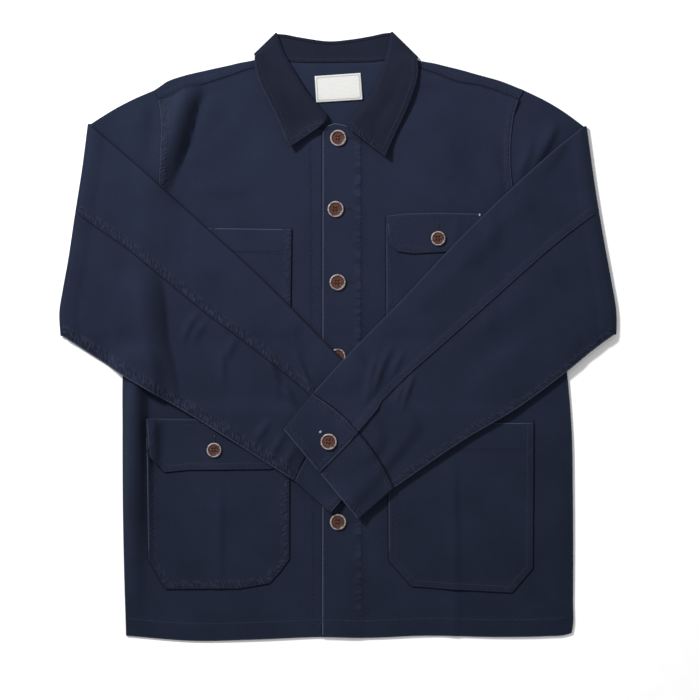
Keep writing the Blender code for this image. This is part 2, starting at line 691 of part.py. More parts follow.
front_grid["right"] = front("right")
add_cloth("front_right", [front_grid["right"]])
heap.lay(front_grid["right"])
stand_fronts = {}
for side in SIDES:
    stand_fronts[side] = stand_front(side)
    heap.lay(stand_fronts[side])
    heap.lay(shoulder_turns[side])
front_grid["left"] = front("left")
add_cloth("front_left", [front_grid["left"]])
heap.lay(front_grid["left"])

# The collar: wings, side turns and the back, joined into one leaf and one stand.
wing_rest = heap.rest("collar")


def wing_height(plan, turn, layer):
    """Height of a point of the leaf where it lies on the fronts."""
    return wing_rest(plan[..., 0], plan[..., 1]) + GAP + WALL / 2 + layer - COLLAR_TURN


WING_LIFT_STATIONS = 2.0   # from the closure, over which the leaf comes down to the front
TURN_ANGLES = np.linspace(90.0, -90.0, 7)
TURN_COUNT = len(TURN_ANGLES)
fall_parts = {}
stand_parts = {}
for side in SIDES:
    roll, leaf, seam = wing[side]
    flat = leaf_rows(roll, leaf, [90.0] * len(roll), np.zeros_like(roll), wing_height)
    flat[..., 2] += PLY * ease(1 - np.arange(len(roll)) / WING_LIFT_STATIONS)[:, None]
    last = [np.repeat(line[-1:], TURN_COUNT, axis=0) for line in (roll, leaf, seam)]
    leaf_normal = normals_of(np.stack([roll[-1], leaf[-1]]), OUTWARD[side])[0]
    turned = leaf_rows(last[0], last[1], TURN_ANGLES, np.tile(leaf_normal, (TURN_COUNT, 1)),
                       neck_height)
    fall_parts[side] = (flat[:-1], turned)
    stand_normal = normals_of(np.stack([roll[-1], seam[-1]]), OUTWARD[side])[0]
    angles = np.radians(TURN_ANGLES)[:, None]
    layer = COLLAR_TURN - PLY
    normals = np.stack([leaf_normal, unit(leaf_normal + stand_normal), stand_normal])
    plan = stand_rows(*last) + normals * (layer * np.cos(angles))[..., None]
    z = np.broadcast_to(NECK_AXIS + layer * np.sin(angles), plan.shape[:2])
    stand_parts[side] = (stand_fronts[side][:-1], np.concatenate([plan, z[..., None]], axis=-1))
    heap.lay(flat[:, :4])


def round_the_neck(parts, back):
    """One grid from the closure, round the back of the neck, to the closure again."""
    right_front, right_turn = parts["right"]
    left_front, left_turn = parts["left"]
    return np.concatenate([right_front, right_turn[:-1], back[:-1],
                           left_turn[::-1], left_front[::-1]])


add_cloth("collar_fall", [round_the_neck(fall_parts, leaf_back)])
add_cloth("collar_stand", [round_the_neck(stand_parts, stand_back)])

# Patch pockets and flaps.


def add_patch(name, columns, rows):
    """A patch cut with straight sides and cut corners, laid on what it is sewn to."""
    shape = PATCHES[name]
    ends = {}
    for end in ("bottom", "top"):
        ends[end] = bent(shape[end], even_shares(shape[end], columns))
    up = np.linspace(0.0, 1.0, rows + 1)
    sides = [bent([ends["bottom"][i], ends["top"][i]], up) for i in (0, -1)]
    grid = laid(patch(ends["bottom"], ends["top"], *sides), heap.rest("patch"))
    add_cloth(name, [grid])
    heap.lay(grid)


for pocket in ("chest_pocket_right", "chest_pocket_left", "hip_pocket_right", "hip_pocket_left"):
    add_patch(pocket, 8, 6)
for flap in ("chest_flap_left", "hip_flap_right"):
    add_patch(flap, 8, 3)
for name, x, y, diameter in BUTTONS:
    add_button(name, x, y, diameter, heap)

# ---------------------------------------------------------------- sleeves and cuffs

SLEEVE_AXIS = LEVEL[0] + FOLD_OUTER              # height about which a sleeve folds back
MIDDLE = 0.5 * (FOLD_INNER + FOLD_OUTER)
EDGE_ANGLES = np.radians([45.0, 0.0, -45.0])
STATION_SAMPLES = 65                             # at which a station's line is measured
NEXT_SHARE = 0.005                               # step that gives the line's direction


def lower_edge_turn():
    """Round the sleeve's lower edge, from its outer layer to its inner one."""
    return [(1.0, PLY / 2 * math.cos(angle), MIDDLE + PLY / 2 * math.sin(angle))
            for angle in EDGE_ANGLES]


def top_edge_turn():
    """Round the sleeve's top edge, from its inner layer to its outer one."""
    return [(0.0, -PLY / 2 * math.cos(angle), MIDDLE + PLY / 2 * math.sin(angle))
            for angle in -EDGE_ANGLES]


def sleeve_ring(piece):
    """One piece's part of the sleeve's ring: share of the width from the top edge, further
    distance that way, and layer. The under sleeve lies below the back seam."""
    if piece == "under":
        shares = ARM_SHARES[ARM_SHARES > BACK_SEAM_SHARE + 1e-9]
        ring = [(BACK_SEAM_SHARE, SEAM / 2, FOLD_OUTER)]
        ring += [(share, 0.0, FOLD_OUTER) for share in shares]
        ring += lower_edge_turn()
        ring.append((1.0, 0.0, FOLD_INNER))
        return np.array(ring)
    ring = [(1.0, -ARM_SEAM, FOLD_INNER)]
    ring += [(share, 0.0, FOLD_INNER) for share in ARM_SHARES[-2::-1]]
    ring += top_edge_turn()
    shares = ARM_SHARES[ARM_SHARES < BACK_SEAM_SHARE - 1e-9]
    ring += [(share, 0.0, FOLD_OUTER) for share in shares]
    ring.append((BACK_SEAM_SHARE, -SEAM / 2, FOLD_OUTER))
    return np.array(ring)


def drifted(side, shares, along):
    """Shares across the sleeve, moved with its back seam at a share of the way along it."""
    places, drifts = zip(*BACK_SEAM_DRIFT[side])
    return shares + np.interp(along, places, drifts) * 4 * shares * (1 - shares)


def seam_bow(side, shares):
    """How far the cuff's seam has bowed towards the sleeve: a flat arch, which is straight
    between the lines of the sleeve's grid."""
    lines = drifted(side, ARM_SHARES, 1.0)
    arch = CUFF_SEAM_BOW * 4 * lines * (1 - lines)
    return np.interp(shares, lines, arch)


def station_points(line, shares, further):
    """Plan points on one station's line from the top edge to the lower edge, each moved on
    by a further distance."""
    line = np.asarray(line, float)
    fine = curve(line, np.linspace(0.0, 1.0, STATION_SAMPLES))
    length = np.linalg.norm(np.diff(fine, axis=0), axis=1).sum()
    shares = (EDGE + shares * (length - 2 * EDGE)) / length
    direction = unit(curve(line, shares + NEXT_SHARE) - curve(line, shares - NEXT_SHARE))
    return curve(line, shares) + direction * further[:, None]


def towards_fold(side):
    """Unit vector from the cuff's free edge up along the sleeve."""
    ends = (SLEEVE_TOP_EDGE[side][-1], SLEEVE_LOWER_EDGE[side][-1])
    return unit(np.subtract(ends, CUFF_FREE_EDGE[side]).sum(axis=0))


def sleeve(side, piece, rest):
    """Grid of a sleeve piece: stations out from the armhole, round the fold, and along the
    part that crosses the front down to the cuff. Returned in those three parts."""
    shares, further, layer = sleeve_ring(piece).T
    arm = np.array(ARMHOLE[side]) + (OUTWARD[side][0] * ARM_SEAM, 0.0)
    arm_points = station_points(arm, shares, further)
    outline = np.array(SLEEVE_FOLD[side], float)
    out_normal = normals_of(outline, OUTWARD[side])
    fold_line = outline - out_normal * (FOLD_OUTER + WALL / 2)
    fold_points = station_points(fold_line, shares, further)
    places = np.linspace(0.0, 1.0, STATION_SAMPLES)
    normal = normals_of(curve(fold_line, places), OUTWARD[side])
    ring_normal = np.stack([np.interp(shares, places, axis) for axis in normal.T], axis=1)
    out = []
    for share in np.linspace(0.0, 1.0, SLEEVE_OUT_STATIONS + 1)[:-1]:
        plan = (1 - share) * arm_points + share * fold_points
        folds = fold_height("sleeve_out_" + side, plan[:, 0], plan[:, 1]) * ease(share * 3)
        z = SLEEVE_AXIS - layer + folds * (FOLD_OUTER - layer) / PLY
        out.append(np.column_stack([plan, z]))
    turned = []
    for degrees in np.linspace(-90.0, 90.0, SLEEVE_FOLD_STEPS + 1):
        angle = math.radians(degrees)
        plan = fold_points + ring_normal * (layer * math.cos(angle))[:, None]
        turned.append(np.column_stack([plan, SLEEVE_AXIS + layer * math.sin(angle)]))
    stations = np.linspace(0.0, 1.0, SLEEVE_CROSS_STATIONS + 1)[1:]
    top_edge = curve(SLEEVE_TOP_EDGE[side], stations)
    lower_edge = curve(SLEEVE_LOWER_EDGE[side], stations)
    round_fold = fold_points - station_points(outline[[0, -1]], shares, further)
    crossing = []
    for along, top, low in zip(stations, top_edge, lower_edge):
        across = drifted(side, shares, along)
        plan = station_points([top, low], across, further)
        plan = plan + round_fold * (1 - ease(along / ROUNDS_OFF_BY))
        bow = seam_bow(side, across) * ease((along - BOWS_FROM) / (1 - BOWS_FROM))
        plan = plan + towards_fold(side) * bow[:, None]
        settled = ease(along / SETTLES_BY)
        lying = rest(plan[:, 0], plan[:, 1]) + GAP
        base = (1 - settled) * np.maximum(SLEEVE_AXIS + FOLD_INNER - WALL / 2, lying)
        base = base + settled * lying
        folds = fold_height("sleeve_cross_" + side, plan[:, 0], plan[:, 1])
        z = base + WALL / 2 + (layer - FOLD_INNER) * (1 + folds / PLY)
        crossing.append(np.column_stack([plan, z]))
    return np.array(out), np.array(turned), np.array(crossing)


CUFF_PLY = CUFF_WALL + GAP
CUFF_EDGE = CUFF_PLY / 2 + CUFF_WALL / 2


def cuff_ring():
    """Round the cuff: from the end under the tab, over the lower edge, along the hidden
    side, round the top edge and out along the tab."""
    half = CUFF_PLY / 2
    ring = [(share, 0.0, CUFF_PLY) for share in CUFF_UNDER_END]
    ring += [(1.0, half * math.cos(angle), half + half * math.sin(angle))
             for angle in EDGE_ANGLES]
    ring += [(share, 0.0, 0.0) for share in CUFF_HIDDEN_SIDE]
    ring += [(0.0, -half * math.cos(angle), half + half * math.sin(angle))
             for angle in -EDGE_ANGLES]
    ring += [(share, 0.0, layers * CUFF_PLY) for share, layers in CUFF_TAB]
    return np.array(ring)


def cuff_plan(side, down, shares, further):
    """Plan points of a cuff, at a share of the way down to its free edge."""
    ends = []
    for end, edge in enumerate((SLEEVE_TOP_EDGE[side], SLEEVE_LOWER_EDGE[side])):
        free = CUFF_FREE_EDGE[side][end]
        ends.append(edge[-1] + np.subtract(free, edge[-1]) * down)
    length = np.linalg.norm(ends[1] - ends[0])
    along = CUFF_EDGE + shares * (length - 2 * CUFF_EDGE) + further
    bow = seam_bow(side, shares) * (1 - down)
    return ends[0] + unit(ends[1] - ends[0]) * along[:, None] + towards_fold(side) * bow[:, None]


def cuff_depth(side, share):
    """From the cuff's seam to its free edge, at a share of the way across."""
    top, low = (cuff_plan(side, down, np.array([share]), 0.0)[0] for down in (0.0, 1.0))
    return np.linalg.norm(low - top)


def cuff(side, rest):
    """Grid of a cuff from its seam to its free edge."""
    shares, further, layer = cuff_ring().T
    rows = []
    for down in np.linspace(SEAM / cuff_depth(side, 0.0), 1.0, CUFF_ROWS):
        plan = cuff_plan(side, down, shares, further)
        z = rest(plan[:, 0], plan[:, 1]) + GAP + CUFF_WALL / 2 + layer
        rows.append(np.column_stack([plan, z]))
    return np.array(rows)


def cuff_button_place(side):
    """Plan point of the button on a cuff's tab."""
    down = 1 - CUFF_BUTTON_UP / cuff_depth(side, CUFF_BUTTON_ACROSS)
    return cuff_plan(side, down, np.array([CUFF_BUTTON_ACROSS]), 0.0)[0]


def on_table(x, y):
    """Height of the bare table."""
    return np.zeros_like(x)


for side in SIDES:
    for piece in ("top", "under"):
        out, turned, crossing = sleeve(side, piece, on_table)
        heap.lay(np.concatenate([out, turned]))
for side in SIDES:
    rest = heap.rest("sleeve")
    for piece in ("top", "under"):
        grid = np.concatenate(sleeve(side, piece, rest))
        add_cloth("sleeve_" + piece + "_" + side, [grid])
        heap.lay(grid)
    grid = cuff(side, rest)
    add_cloth("cuff_" + side, [grid], CUFF_WALL)
    heap.lay(grid, CUFF_WALL)
    x, y = cuff_button_place(side)
    add_button("cuff_button_" + side, x, y, BUTTON_DIAMETER, heap)

# The middle of the jacket's box goes over the origin, and its lowest point onto it.
bpy.context.view_layer.update()
graph = bpy.context.evaluated_depsgraph_get()
corners = []
for piece in JACKET.objects:
    if piece.type == "MESH":
        seen = piece.evaluated_get(graph)
        corners += [seen.matrix_world @ vertex.co for vertex in seen.data.vertices]
corners = np.array(corners)
low = corners.min(axis=0)
high = corners.max(axis=0)
ORIGIN.location = (-0.5 * (low[0] + high[0]), -0.5 * (low[1] + high[1]), -low[2])
bpy.context.view_layer.update()
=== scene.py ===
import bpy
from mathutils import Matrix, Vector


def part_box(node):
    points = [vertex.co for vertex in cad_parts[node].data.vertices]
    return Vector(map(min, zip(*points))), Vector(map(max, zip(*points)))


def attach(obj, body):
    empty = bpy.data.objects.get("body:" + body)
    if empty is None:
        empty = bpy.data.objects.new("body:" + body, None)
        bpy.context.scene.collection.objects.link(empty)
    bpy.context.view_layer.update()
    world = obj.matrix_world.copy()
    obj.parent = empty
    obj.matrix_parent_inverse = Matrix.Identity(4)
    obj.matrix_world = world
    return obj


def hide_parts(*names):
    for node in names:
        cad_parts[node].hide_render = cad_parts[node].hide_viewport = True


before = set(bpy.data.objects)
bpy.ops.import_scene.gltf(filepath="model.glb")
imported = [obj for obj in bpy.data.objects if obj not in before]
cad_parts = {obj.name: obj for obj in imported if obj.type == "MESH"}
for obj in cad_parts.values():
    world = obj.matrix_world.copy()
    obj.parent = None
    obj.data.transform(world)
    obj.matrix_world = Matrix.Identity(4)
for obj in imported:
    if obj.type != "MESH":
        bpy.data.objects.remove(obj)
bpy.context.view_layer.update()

"""Chore jacket of navy cotton canvas, lying flat and face up, with both sleeves folded in at
their outer edges and crossed over the front, the wearer's left sleeve on top.

Plan positions are millimetres, with X to the wearer's left and Y towards the collar. A piece
is a fine grid of points half way through its cloth. The pieces are laid one after another on
a raster of heights, and soft folds, puckers, seams and stitches are added to each.
"""
import math

import bmesh
import bpy
import numpy as np

# ---------------------------------------------------------------- sizes, millimetres
MM = 0.001
WALL = 1.0               # one thickness of cloth
CUFF_WALL = 1.8          # a cuff is two thicknesses, turned and stitched together
LABEL_WALL = 1.0
GAP = 0.3                # air between two pieces that touch
SEAM = 0.35              # air between two pieces sewn edge to edge
ARM_SEAM = 0.5           # the same where the sleeve is set in round the armhole
PLY = WALL + GAP         # from the middle of one layer to the middle of the next
EDGE = PLY / 2 + WALL / 2        # a doubled edge reaches this far past its last flat point
FOLD_INNER = 1.6         # radius of the inner layer where a sleeve is folded back
FOLD_OUTER = FOLD_INNER + PLY
COLLAR_TURN = 1.5 * PLY  # radius of the collar's leaf where it turns to the back
ROLL_HEM = 3.0           # how far the leaf turns in past the roll line
HEM_SET_BACK = 2.0       # the back ends this much above the front's hem
BUTTON_DIAMETER = 20.5
FLAP_BUTTON_DIAMETER = 18.5
BUTTON_HEIGHT = 3.0

# Beyond the edge of what it covers a laid piece stays up, and then slopes down.
DRAPE = {               # stays up over this, slopes down over twice this
    "panel": (8.0, 8.0),
    "patch": (4.0, 4.0),
    "collar": (6.0, 6.0),
    "sleeve": (8.0, 10.0),
}

# Shares of the armhole, from the shoulder to the armpit, at which grids have their lines.
SHOULDER_SEAM_SHARE = 0.047
BACK_SEAM_SHARE = 0.42
BACK_SEAM_DRIFT = {      # share of the way to the cuff, and how far the seam has moved down
    "right": [(0.0, 0.004), (0.2, -0.015), (0.5, -0.002), (0.8, -0.038), (1.0, -0.045)],
    "left": [(0.0, -0.006), (0.2, -0.015), (0.75, -0.01), (0.9, 0.01), (1.0, 0.037)],
}
ARM_SHARES = np.r_[np.linspace(0.0, SHOULDER_SEAM_SHARE, 4)[:-1],
                   np.linspace(SHOULDER_SEAM_SHARE, BACK_SEAM_SHARE, 27),
                   np.linspace(BACK_SEAM_SHARE, 1.0, 40)[1:]]
SIDE_ROWS = 96
SHOULDER_COLUMNS = 30
NECK_END_COLUMNS = 8
TURN_STEPS = 10
SLEEVE_OUT_STATIONS = 26
SLEEVE_FOLD_STEPS = 12
SLEEVE_CROSS_STATIONS = 112
ROUNDS_OFF_BY = 0.3      # share of the way to the cuff at which the fold's curve has gone
SETTLES_BY = 0.25        # the same for the height of the fold
BOWS_FROM = 0.7          # and where the stations begin to take on the cuff seam's bow

# Outlines in plan, rows of (x, y). "right" and "left" are the wearer's.
HEM_BACK = [(-264.5, -373), (-174, -378), (1, -374), (139, -371.5), (258, -373.5),
            (283, -371.8), (290.3, -369.5)]
SIDE = {
    "right": [(-264.5, -373), (-266.5, -298), (-268, -204), (-268.4, -111), (-268, -44),
              (-260, 31)],
    "left": [(290.3, -369.5), (291.6, -363), (292, -329), (291.8, -204), (290, -111),
             (285.5, -54), (276, 27)],
}
ARMHOLE = {             # from the shoulder down to the armpit
    "right": [(-227.5, 307), (-223.5, 295), (-219, 264), (-219, 235), (-222, 190.5),
              (-230, 127), (-244, 77), (-260, 31)],
    "left": [(230, 306.5), (221, 288), (214.5, 255), (213, 220), (216, 184.5), (231, 127),
             (252.5, 77), (276, 27)],
}
SHOULDER = {            # the silhouette, from the armhole up to the neck point
    "right": [(-227.5, 307), (-212.5, 317.5), (-197, 323), (-162, 331.5), (-107.5, 343),
              (-87.5, 347.5)],
    "left": [(230, 306.5), (201, 318), (176, 325), (151, 332), (100, 343), (81, 347)],
}
FORWARD_SEAM = {        # where the back, turned over the shoulder, meets the front
    "right": [(-209, 298.5), (-190, 308), (-164, 315), (-135.5, 324), (-106, 333.5)],
    "left": [(200, 304.5), (176, 312), (151, 316), (126, 325), (101, 333)],
}
FORWARD_SEAM_END = (0.0, -11.0)  # its last point from the side of the neck, below the collar
FRONT_HEM = {
    "right": [(-264.5, -373), (-174, -379.5), (-111, -378), (-14.5, -374.5), (13.5, -374.5)],
    "left": [(-20, -374.5), (39, -375.5), (101, -373), (201, -374.5), (258, -373.5),
             (283, -371.8), (290.3, -369.5)],
}
FRONT_NECK_END = {      # past the end of the collar stand, to the closure's top corner
    "right": [(-5, 254), (13.5, 253)],
    "left": [(6, 263), (-4, 265), (-13.5, 262), (-19.5, 254)],
}
SLEEVE_FOLD = {         # outermost line of the folded sleeve, from its top edge down
    "right": [(-312, 264.5), (-319, 209.5), (-328, 152), (-337.5, 89), (-343.2, 58),
              (-347.5, 29), (-346, 0)],
    "left": [(309, 261.5), (319.5, 185.5), (332.5, 108), (339.5, 70), (346.2, 26), (346, 2)],
}
SLEEVE_TOP_EDGE = {     # of the part that crosses the front, from the fold to the cuff
    "right": [(-312, 264.5), (-286, 242.5), (-235, 199.5), (-172.5, 143.5), (-107.5, 84.5),
              (-5, -18), (41, -64.5)],
    "left": [(309, 261.5), (277.5, 237), (217.5, 185.5), (154, 124.5), (76, 42), (9.5, -25.5),
             (-32, -71)],
}
SLEEVE_LOWER_EDGE = {
    "right": [(-346, 0), (-322.5, -15), (-270, -47), (-161, -112), (-55, -179.5)],
    "left": [(346, 2), (320, -16.5), (286.8, -42), (226, -87), (155, -129.5), (69.5, -188)],
}
CUFF_FREE_EDGE = {      # top corner, lower corner
    "right": [(82.5, -109.5), (-10, -219.5)],
    "left": [(-68, -115), (25, -227)],
}
CUFF_SEAM_BOW = 12.0    # the cuff's seam bows this far towards the sleeve in its middle
CUFF_UNDER_END = 0.30   # share across at which the end below the tab begins
CUFF_TAB = [            # share across, layers above the hidden side, out to the tab's end
    (0.0, 1.0), (0.12, 1.45), (0.25, 2.0), (0.36, 2.0), (0.48, 2.0),
]
TAB_SHARE = CUFF_TAB[-1][0]
CUFF_ROWS = 22
CUFF_SPACING = 0.035     # share of the width between the lines of a cuff's grid
CUFF_BUTTON_ACROSS = 0.353
CUFF_BUTTON_UP = 33.5   # from the cuff's free edge

# The collar, station by station round the neck: the roll line, the leaf's outer edge and
# the neck seam, each (x, y). A wing runs from the closure up to the side of the neck.
COLLAR_WING = {
    "right": [
        # roll_x, roll_y, leaf_x, leaf_y, seam_x, seam_y
        (-20, 262, -61, 234, -26, 259),
        (-14, 273, -66.5, 247, -31, 262),
        (-26, 288, -76, 270.5, -43, 271),
        (-41, 307, -88, 295, -60, 287),
        (-55, 330.5, -98, 315, -75, 308),
        (-67, 352, -103.5, 335, -83.5, 327),
        (-76, 376.6, -104, 349.5, -87.5, 346.5),
    ],
    "left": [
        (12.5, 257, 58.5, 222, 15, 259.5),
        (15.5, 271, 62.5, 233, 22, 261),
        (29, 286, 70.5, 251, 40, 270),
        (44, 306, 81.5, 274, 57, 286),
        (53, 330, 92.5, 301.5, 71.5, 306),
        (60, 352, 99, 326, 79.5, 328),
        (65, 378, 98, 345.5, 81.5, 346),
    ],
}
COLLAR_BACK = [         # from the right side of the neck to the left
    COLLAR_WING["right"][-1],
    (-64, 375.5, -84, 327, -73.5, 343),
    (-49, 372.5, -58, 321, -49, 340.5),
    (-14, 367.5, -15, 318, -14, 340),
    (14, 369.5, 15, 318, 14, 340.5),
    (39, 373.5, 50, 321, 40, 341),
    (55, 377, 76, 327, 63, 343.5),
    COLLAR_WING["left"][-1],
]
WING_STATIONS = 32
NECK_STATIONS = 46

# Patches: their lower and upper sides as bent lines, going to the wearer's left.
PATCHES = {
    "chest_pocket_right": {"bottom": [(-165.5, 23), (-59.5, 20.5)],
                           "top": [(-165.5, 134.5), (-58, 133)]},
    "chest_pocket_left": {"bottom": [(60, 23), (179, 23)], "top": [(59.5, 146), (179, 148)]},
    "hip_pocket_right": {
        "bottom": [(-236, -278), (-221, -305.5), (-214.5, -315), (-124, -314.5), (-86, -308),
                   (-74, -295.5), (-61, -278)],
        "top": [(-237.5, -109), (-60.5, -109)],
    },
    "hip_pocket_left": {
        "bottom": [(63, -279.5), (91, -311.5), (142.5, -315.5), (216, -319.5), (242, -289)],
        "top": [(61.5, -108), (243, -108)],
    },
    "chest_flap_left": {
        "bottom": [(64, 114), (74.5, 105), (93.5, 102.5), (138, 105), (164, 107), (174, 115.5)],
        "top": [(60, 149.5), (82.5, 152.5), (126, 153.5), (179, 152)],
    },
    "hip_flap_right": {
        "bottom": [(-234, -149.5), (-216, -169.5), (-187.5, -166.5), (-86, -165.5),
                   (-71, -162), (-62.5, -148)],
        "top": [(-237.5, -102.5), (-60, -104.5)],
    },
}
LABEL_CORNERS = {"bottom": [(-27.5, 291), (30, 294.5)], "top": [(-29.5, 323.5), (27.5, 327.5)]}

BUTTONS = [             # name, x, y, diameter
    ("front_button_1", -0.3, 246.4, BUTTON_DIAMETER),
    ("front_button_2", -3.5, 158, BUTTON_DIAMETER),
    ("front_button_3", -1, 67, BUTTON_DIAMETER),
    ("front_button_4", -1, -25.5, BUTTON_DIAMETER),
    ("front_button_5", -1, -128, BUTTON_DIAMETER),
    ("front_button_6", -0.5, -231, BUTTON_DIAMETER),
    ("flap_button_chest", 124, 121.5, FLAP_BUTTON_DIAMETER),
    ("flap_button_hip", -154.5, -141.5, FLAP_BUTTON_DIAMETER),
]
FOLDS = {               # soft folds of each piece: rounded ridges along lines of points
    # Each has its half widths to the left and right of the way along it, for the whole fold
    # or for each of its points, and then the points (x, y, height). On a side with a negative
    # half width it falls in a parabola to a sharp foot.
    "front_right": [
        ([(-15, 14), (-18, 15), (-19, 16), (-21, 16), (-21, 15), (-18, 14), (-12, 11)],
         [(-181, 316, 3), (-186, 305, 10), (-193, 290.6, 16.5), (-199.5, 270.6, 20),
          (-210.5, 233.1, 18), (-217, 208.1, 11), (-221, 185.6, 3)]),
        ([(20, -8), (20, -11), (20, -12), (20, -12), (18, -11), (14, -8)],
         [(-152, 303, 0), (-156, 290, 2.2), (-165, 270, 2.8), (-177, 233, 2.6), (-188, 208, 1.6),
          (-200, 186, 0)]),
        ((12, 7),
         [(-191.2, 185.6, 0), (-167.5, 183.1, 1.8), (-130, 183.1, 1.5), (-96.2, 190.6, 0)]),
        ((16, 12),
         [(-96.2, 295.6, 0), (-123.8, 270.6, 1.2), (-155, 233.1, 1.4), (-173.8, 201.9, 0)]),
        ([(-17, 8), (-17, 8), (-17, 8), (-17, 8), (-15, 8), (-13, 8), (-12, 8)],
         [(-255, -44, 12), (-255, -79, 17), (-256, -142, 16), (-257, -204, 13), (-256, -261, 8),
          (-254, -317, 3.5), (-252, -360, 0)]),
        ((14, 14), [(-48.8, 170.6, 0), (-53.8, 95.6, 0.9), (-51.2, 8.1, 0)]),
    ],
    "front_left": [
        ((16, 16), [(163.8, 295.6, 0), (126.2, 280.6, 1.5), (76.2, 251.9, 1.2), (41.2, 220.6, 0)]),
        ([(8, 12), (7, 12), (6, 12), (6, 12)],
         [(188.8, 258.1, 0), (195, 220.6, 2), (201.2, 188.1, 2.5), (205, 170.6, 0)]),
        ((12, 12), [(132.5, 283.1, 0), (138.8, 233.1, 1), (141.2, 170.6, 0)]),
        ((8, 14),
         [(276.2, -104.4, 0), (277.5, -204.4, 1.5), (278.8, -304.4, 1.2), (278.8, -354.4, 0)]),
        ((10, 14), [(51.2, -179.4, 0), (46.2, -254.4, 1), (48.8, -329.4, 0)]),
        ((3, 10), [(147.5, -312, 0.6), (148, -340, 1.8), (148, -374, 1.4)]),
    ],
    "sleeve_out_left": [
        ([(4.5, 9), (4.5, 9), (4.5, 9), (4.5, 7)],
         [(240, 248.1, 0), (237, 230.6, 6), (228.2, 210.6, 8), (217, 190.6, 5)]),
        ([(4.5, 9), (4.5, 9), (4.5, 9), (4.5, 8)],
         [(271.2, 268.1, 0), (265, 250.6, 5), (252.5, 228.1, 5), (241.2, 210.6, 2)]),
    ],
    "sleeve_out_right": [
        ((9, 9),
         [(-236.2, 298.1, 0), (-242.5, 276.9, 2.5), (-236.2, 245.6, 2.1), (-228.8, 210.6, 0)]),
        ((8, 10),
         [(-271.2, 280.6, 0), (-258.8, 264.4, 2.1), (-246.2, 239.4, 1.7), (-236.2, 214.4, 0)]),
    ],
    "sleeve_cross_right": [
        ([(-20, 16), (-27, 17), (-28, 18), (-26, 17), (-21, 15), (-17, 14), (-13, 12)],
         [(-247, 84, 3), (-246, 64, 12), (-242, 38, 17), (-237, 0, 15), (-224, -38, 10),
          (-213, -73, 5), (-203, -98, 0)]),
        ((3.5, 4.5),
         [(-193.8, -9.4, 0), (-190, 4.4, 3.6), (-182.5, 18.1, 4.2), (-168.8, 31.9, 0)]),
        ((4, 4), [(-183.8, -13.1, 0), (-173.8, 6.9, 3), (-158.8, 24.4, 0)]),
        ((3.5, 6), [(-142.5, -8.1, 0), (-143.8, -35.6, 2.7), (-142.5, -69.4, 0)]),
        ((4, 5), [(-126.2, 0.6, 0), (-133.8, -14.4, 3.4), (-140, -29.4, 0)]),
        ((5, 6), [(-91.2, -16.9, 0), (-83.8, -36.9, 4.6), (-76.2, -60.6, 3.4), (-72.5, -79.4, 0)]),
        ((4, 4), [(-56.2, -16.9, 0), (-46.2, -39.4, 4.6), (-37.5, -59.4, 4.6), (-30, -70.6, 2.3)]),
        ((4, 5), [(-70, -56.9, 0), (-61.2, -74.4, 4.2), (-52.5, -89.4, 0)]),
        ((18, 18), [(-286.2, 130.6, 0), (-273.8, 58.1, 2.5), (-267.5, 1.9, 0)]),
        ((4, 4), [(-83.8, -101.9, 0), (-95, -118.1, 3.4), (-105, -133.1, 0)]),
        ((4, 4), [(-65, -116.9, 0), (-77.5, -136.9, 3.6), (-88.8, -154.4, 0)]),
        ((4, 4), [(-51.2, -133.1, 0), (-62.5, -151.9, 3), (-72.5, -166.9, 0)]),
    ],
    "sleeve_cross_left": [
        ((4, 5), [(68.8, -8.1, 0), (56.2, -31.9, 3.5), (46.2, -60.6, 3.9), (41.2, -79.4, 0)]),
        ((4, 5), [(51.2, -16.9, 0), (41.2, -44.4, 3.2), (36.2, -73.1, 2.6), (33.8, -88.1, 0)]),
        ((4, 4), [(81.2, -16.9, 0), (72.5, -34.4, 3), (65, -54.4, 0)]),
        ((3.5, 4), [(93.8, -44.4, 0), (88.8, -59.4, 3.9), (81.2, -81.9, 2.6), (78.8, -94.4, 0)]),
        ((3.5, 4), [(81.2, -55.6, 0), (76.2, -69.4, 3.2), (71.2, -86.9, 0)]),
        ((20, 18), [(283.8, 108.1, 0), (226.2, 45.6, 3.2), (163.8, -4.4, 3.2), (113.8, -54.4, 0)]),
        ((14, 14), [(276.2, 208.1, 0), (201.2, 139.4, 1.9), (126.2, 64.4, 1.9), (63.8, 8.1, 0)]),
        ([(16, 14), (18, 14), (16, 14)],
         [(276.2, 20.6, 0), (207.5, -29.4, 2.4), (153.8, -79.4, 0)]),
    ],
    "hip_pocket_right": [
        ((3, 10),
         [(-146.2, -166.9, 0.6), (-146.2, -229.4, 2), (-146.2, -285.6, 1.6), (-146.2, -313, 0.6)]),
    ],
    "hip_pocket_left": [
        ((3, 10),
         [(143.8, -138.1, 0), (145, -204.4, 2.2), (146.5, -266.9, 2.2), (147.5, -320, 1.2)]),
    ],
    "chest_flap_left": [
        ((5, 5), [(151.2, 150.6, 0), (146.2, 138.1, 1), (146.2, 120.6, 1), (148.8, 106.9, 0)]),
    ],
    "collar_fall": [
        ((8, 8), [(81.2, 343.1, 0), (76.2, 308.1, 0.8), (60, 258.1, 0.8), (53.8, 230.6, 0)]),
        ((7, 7), [(-83.8, 348.1, 0), (-73.8, 308.1, 0.8), (-51.2, 268.1, 0.8), (-41.2, 250.6, 0)]),
    ],
}
UNEVEN = 0.6             # unevenness of a laid piece
SLEEVE_PUFF = 2.2        # how much the air in a sleeve lifts its upper layer
CUFF_PUFF = 0.8


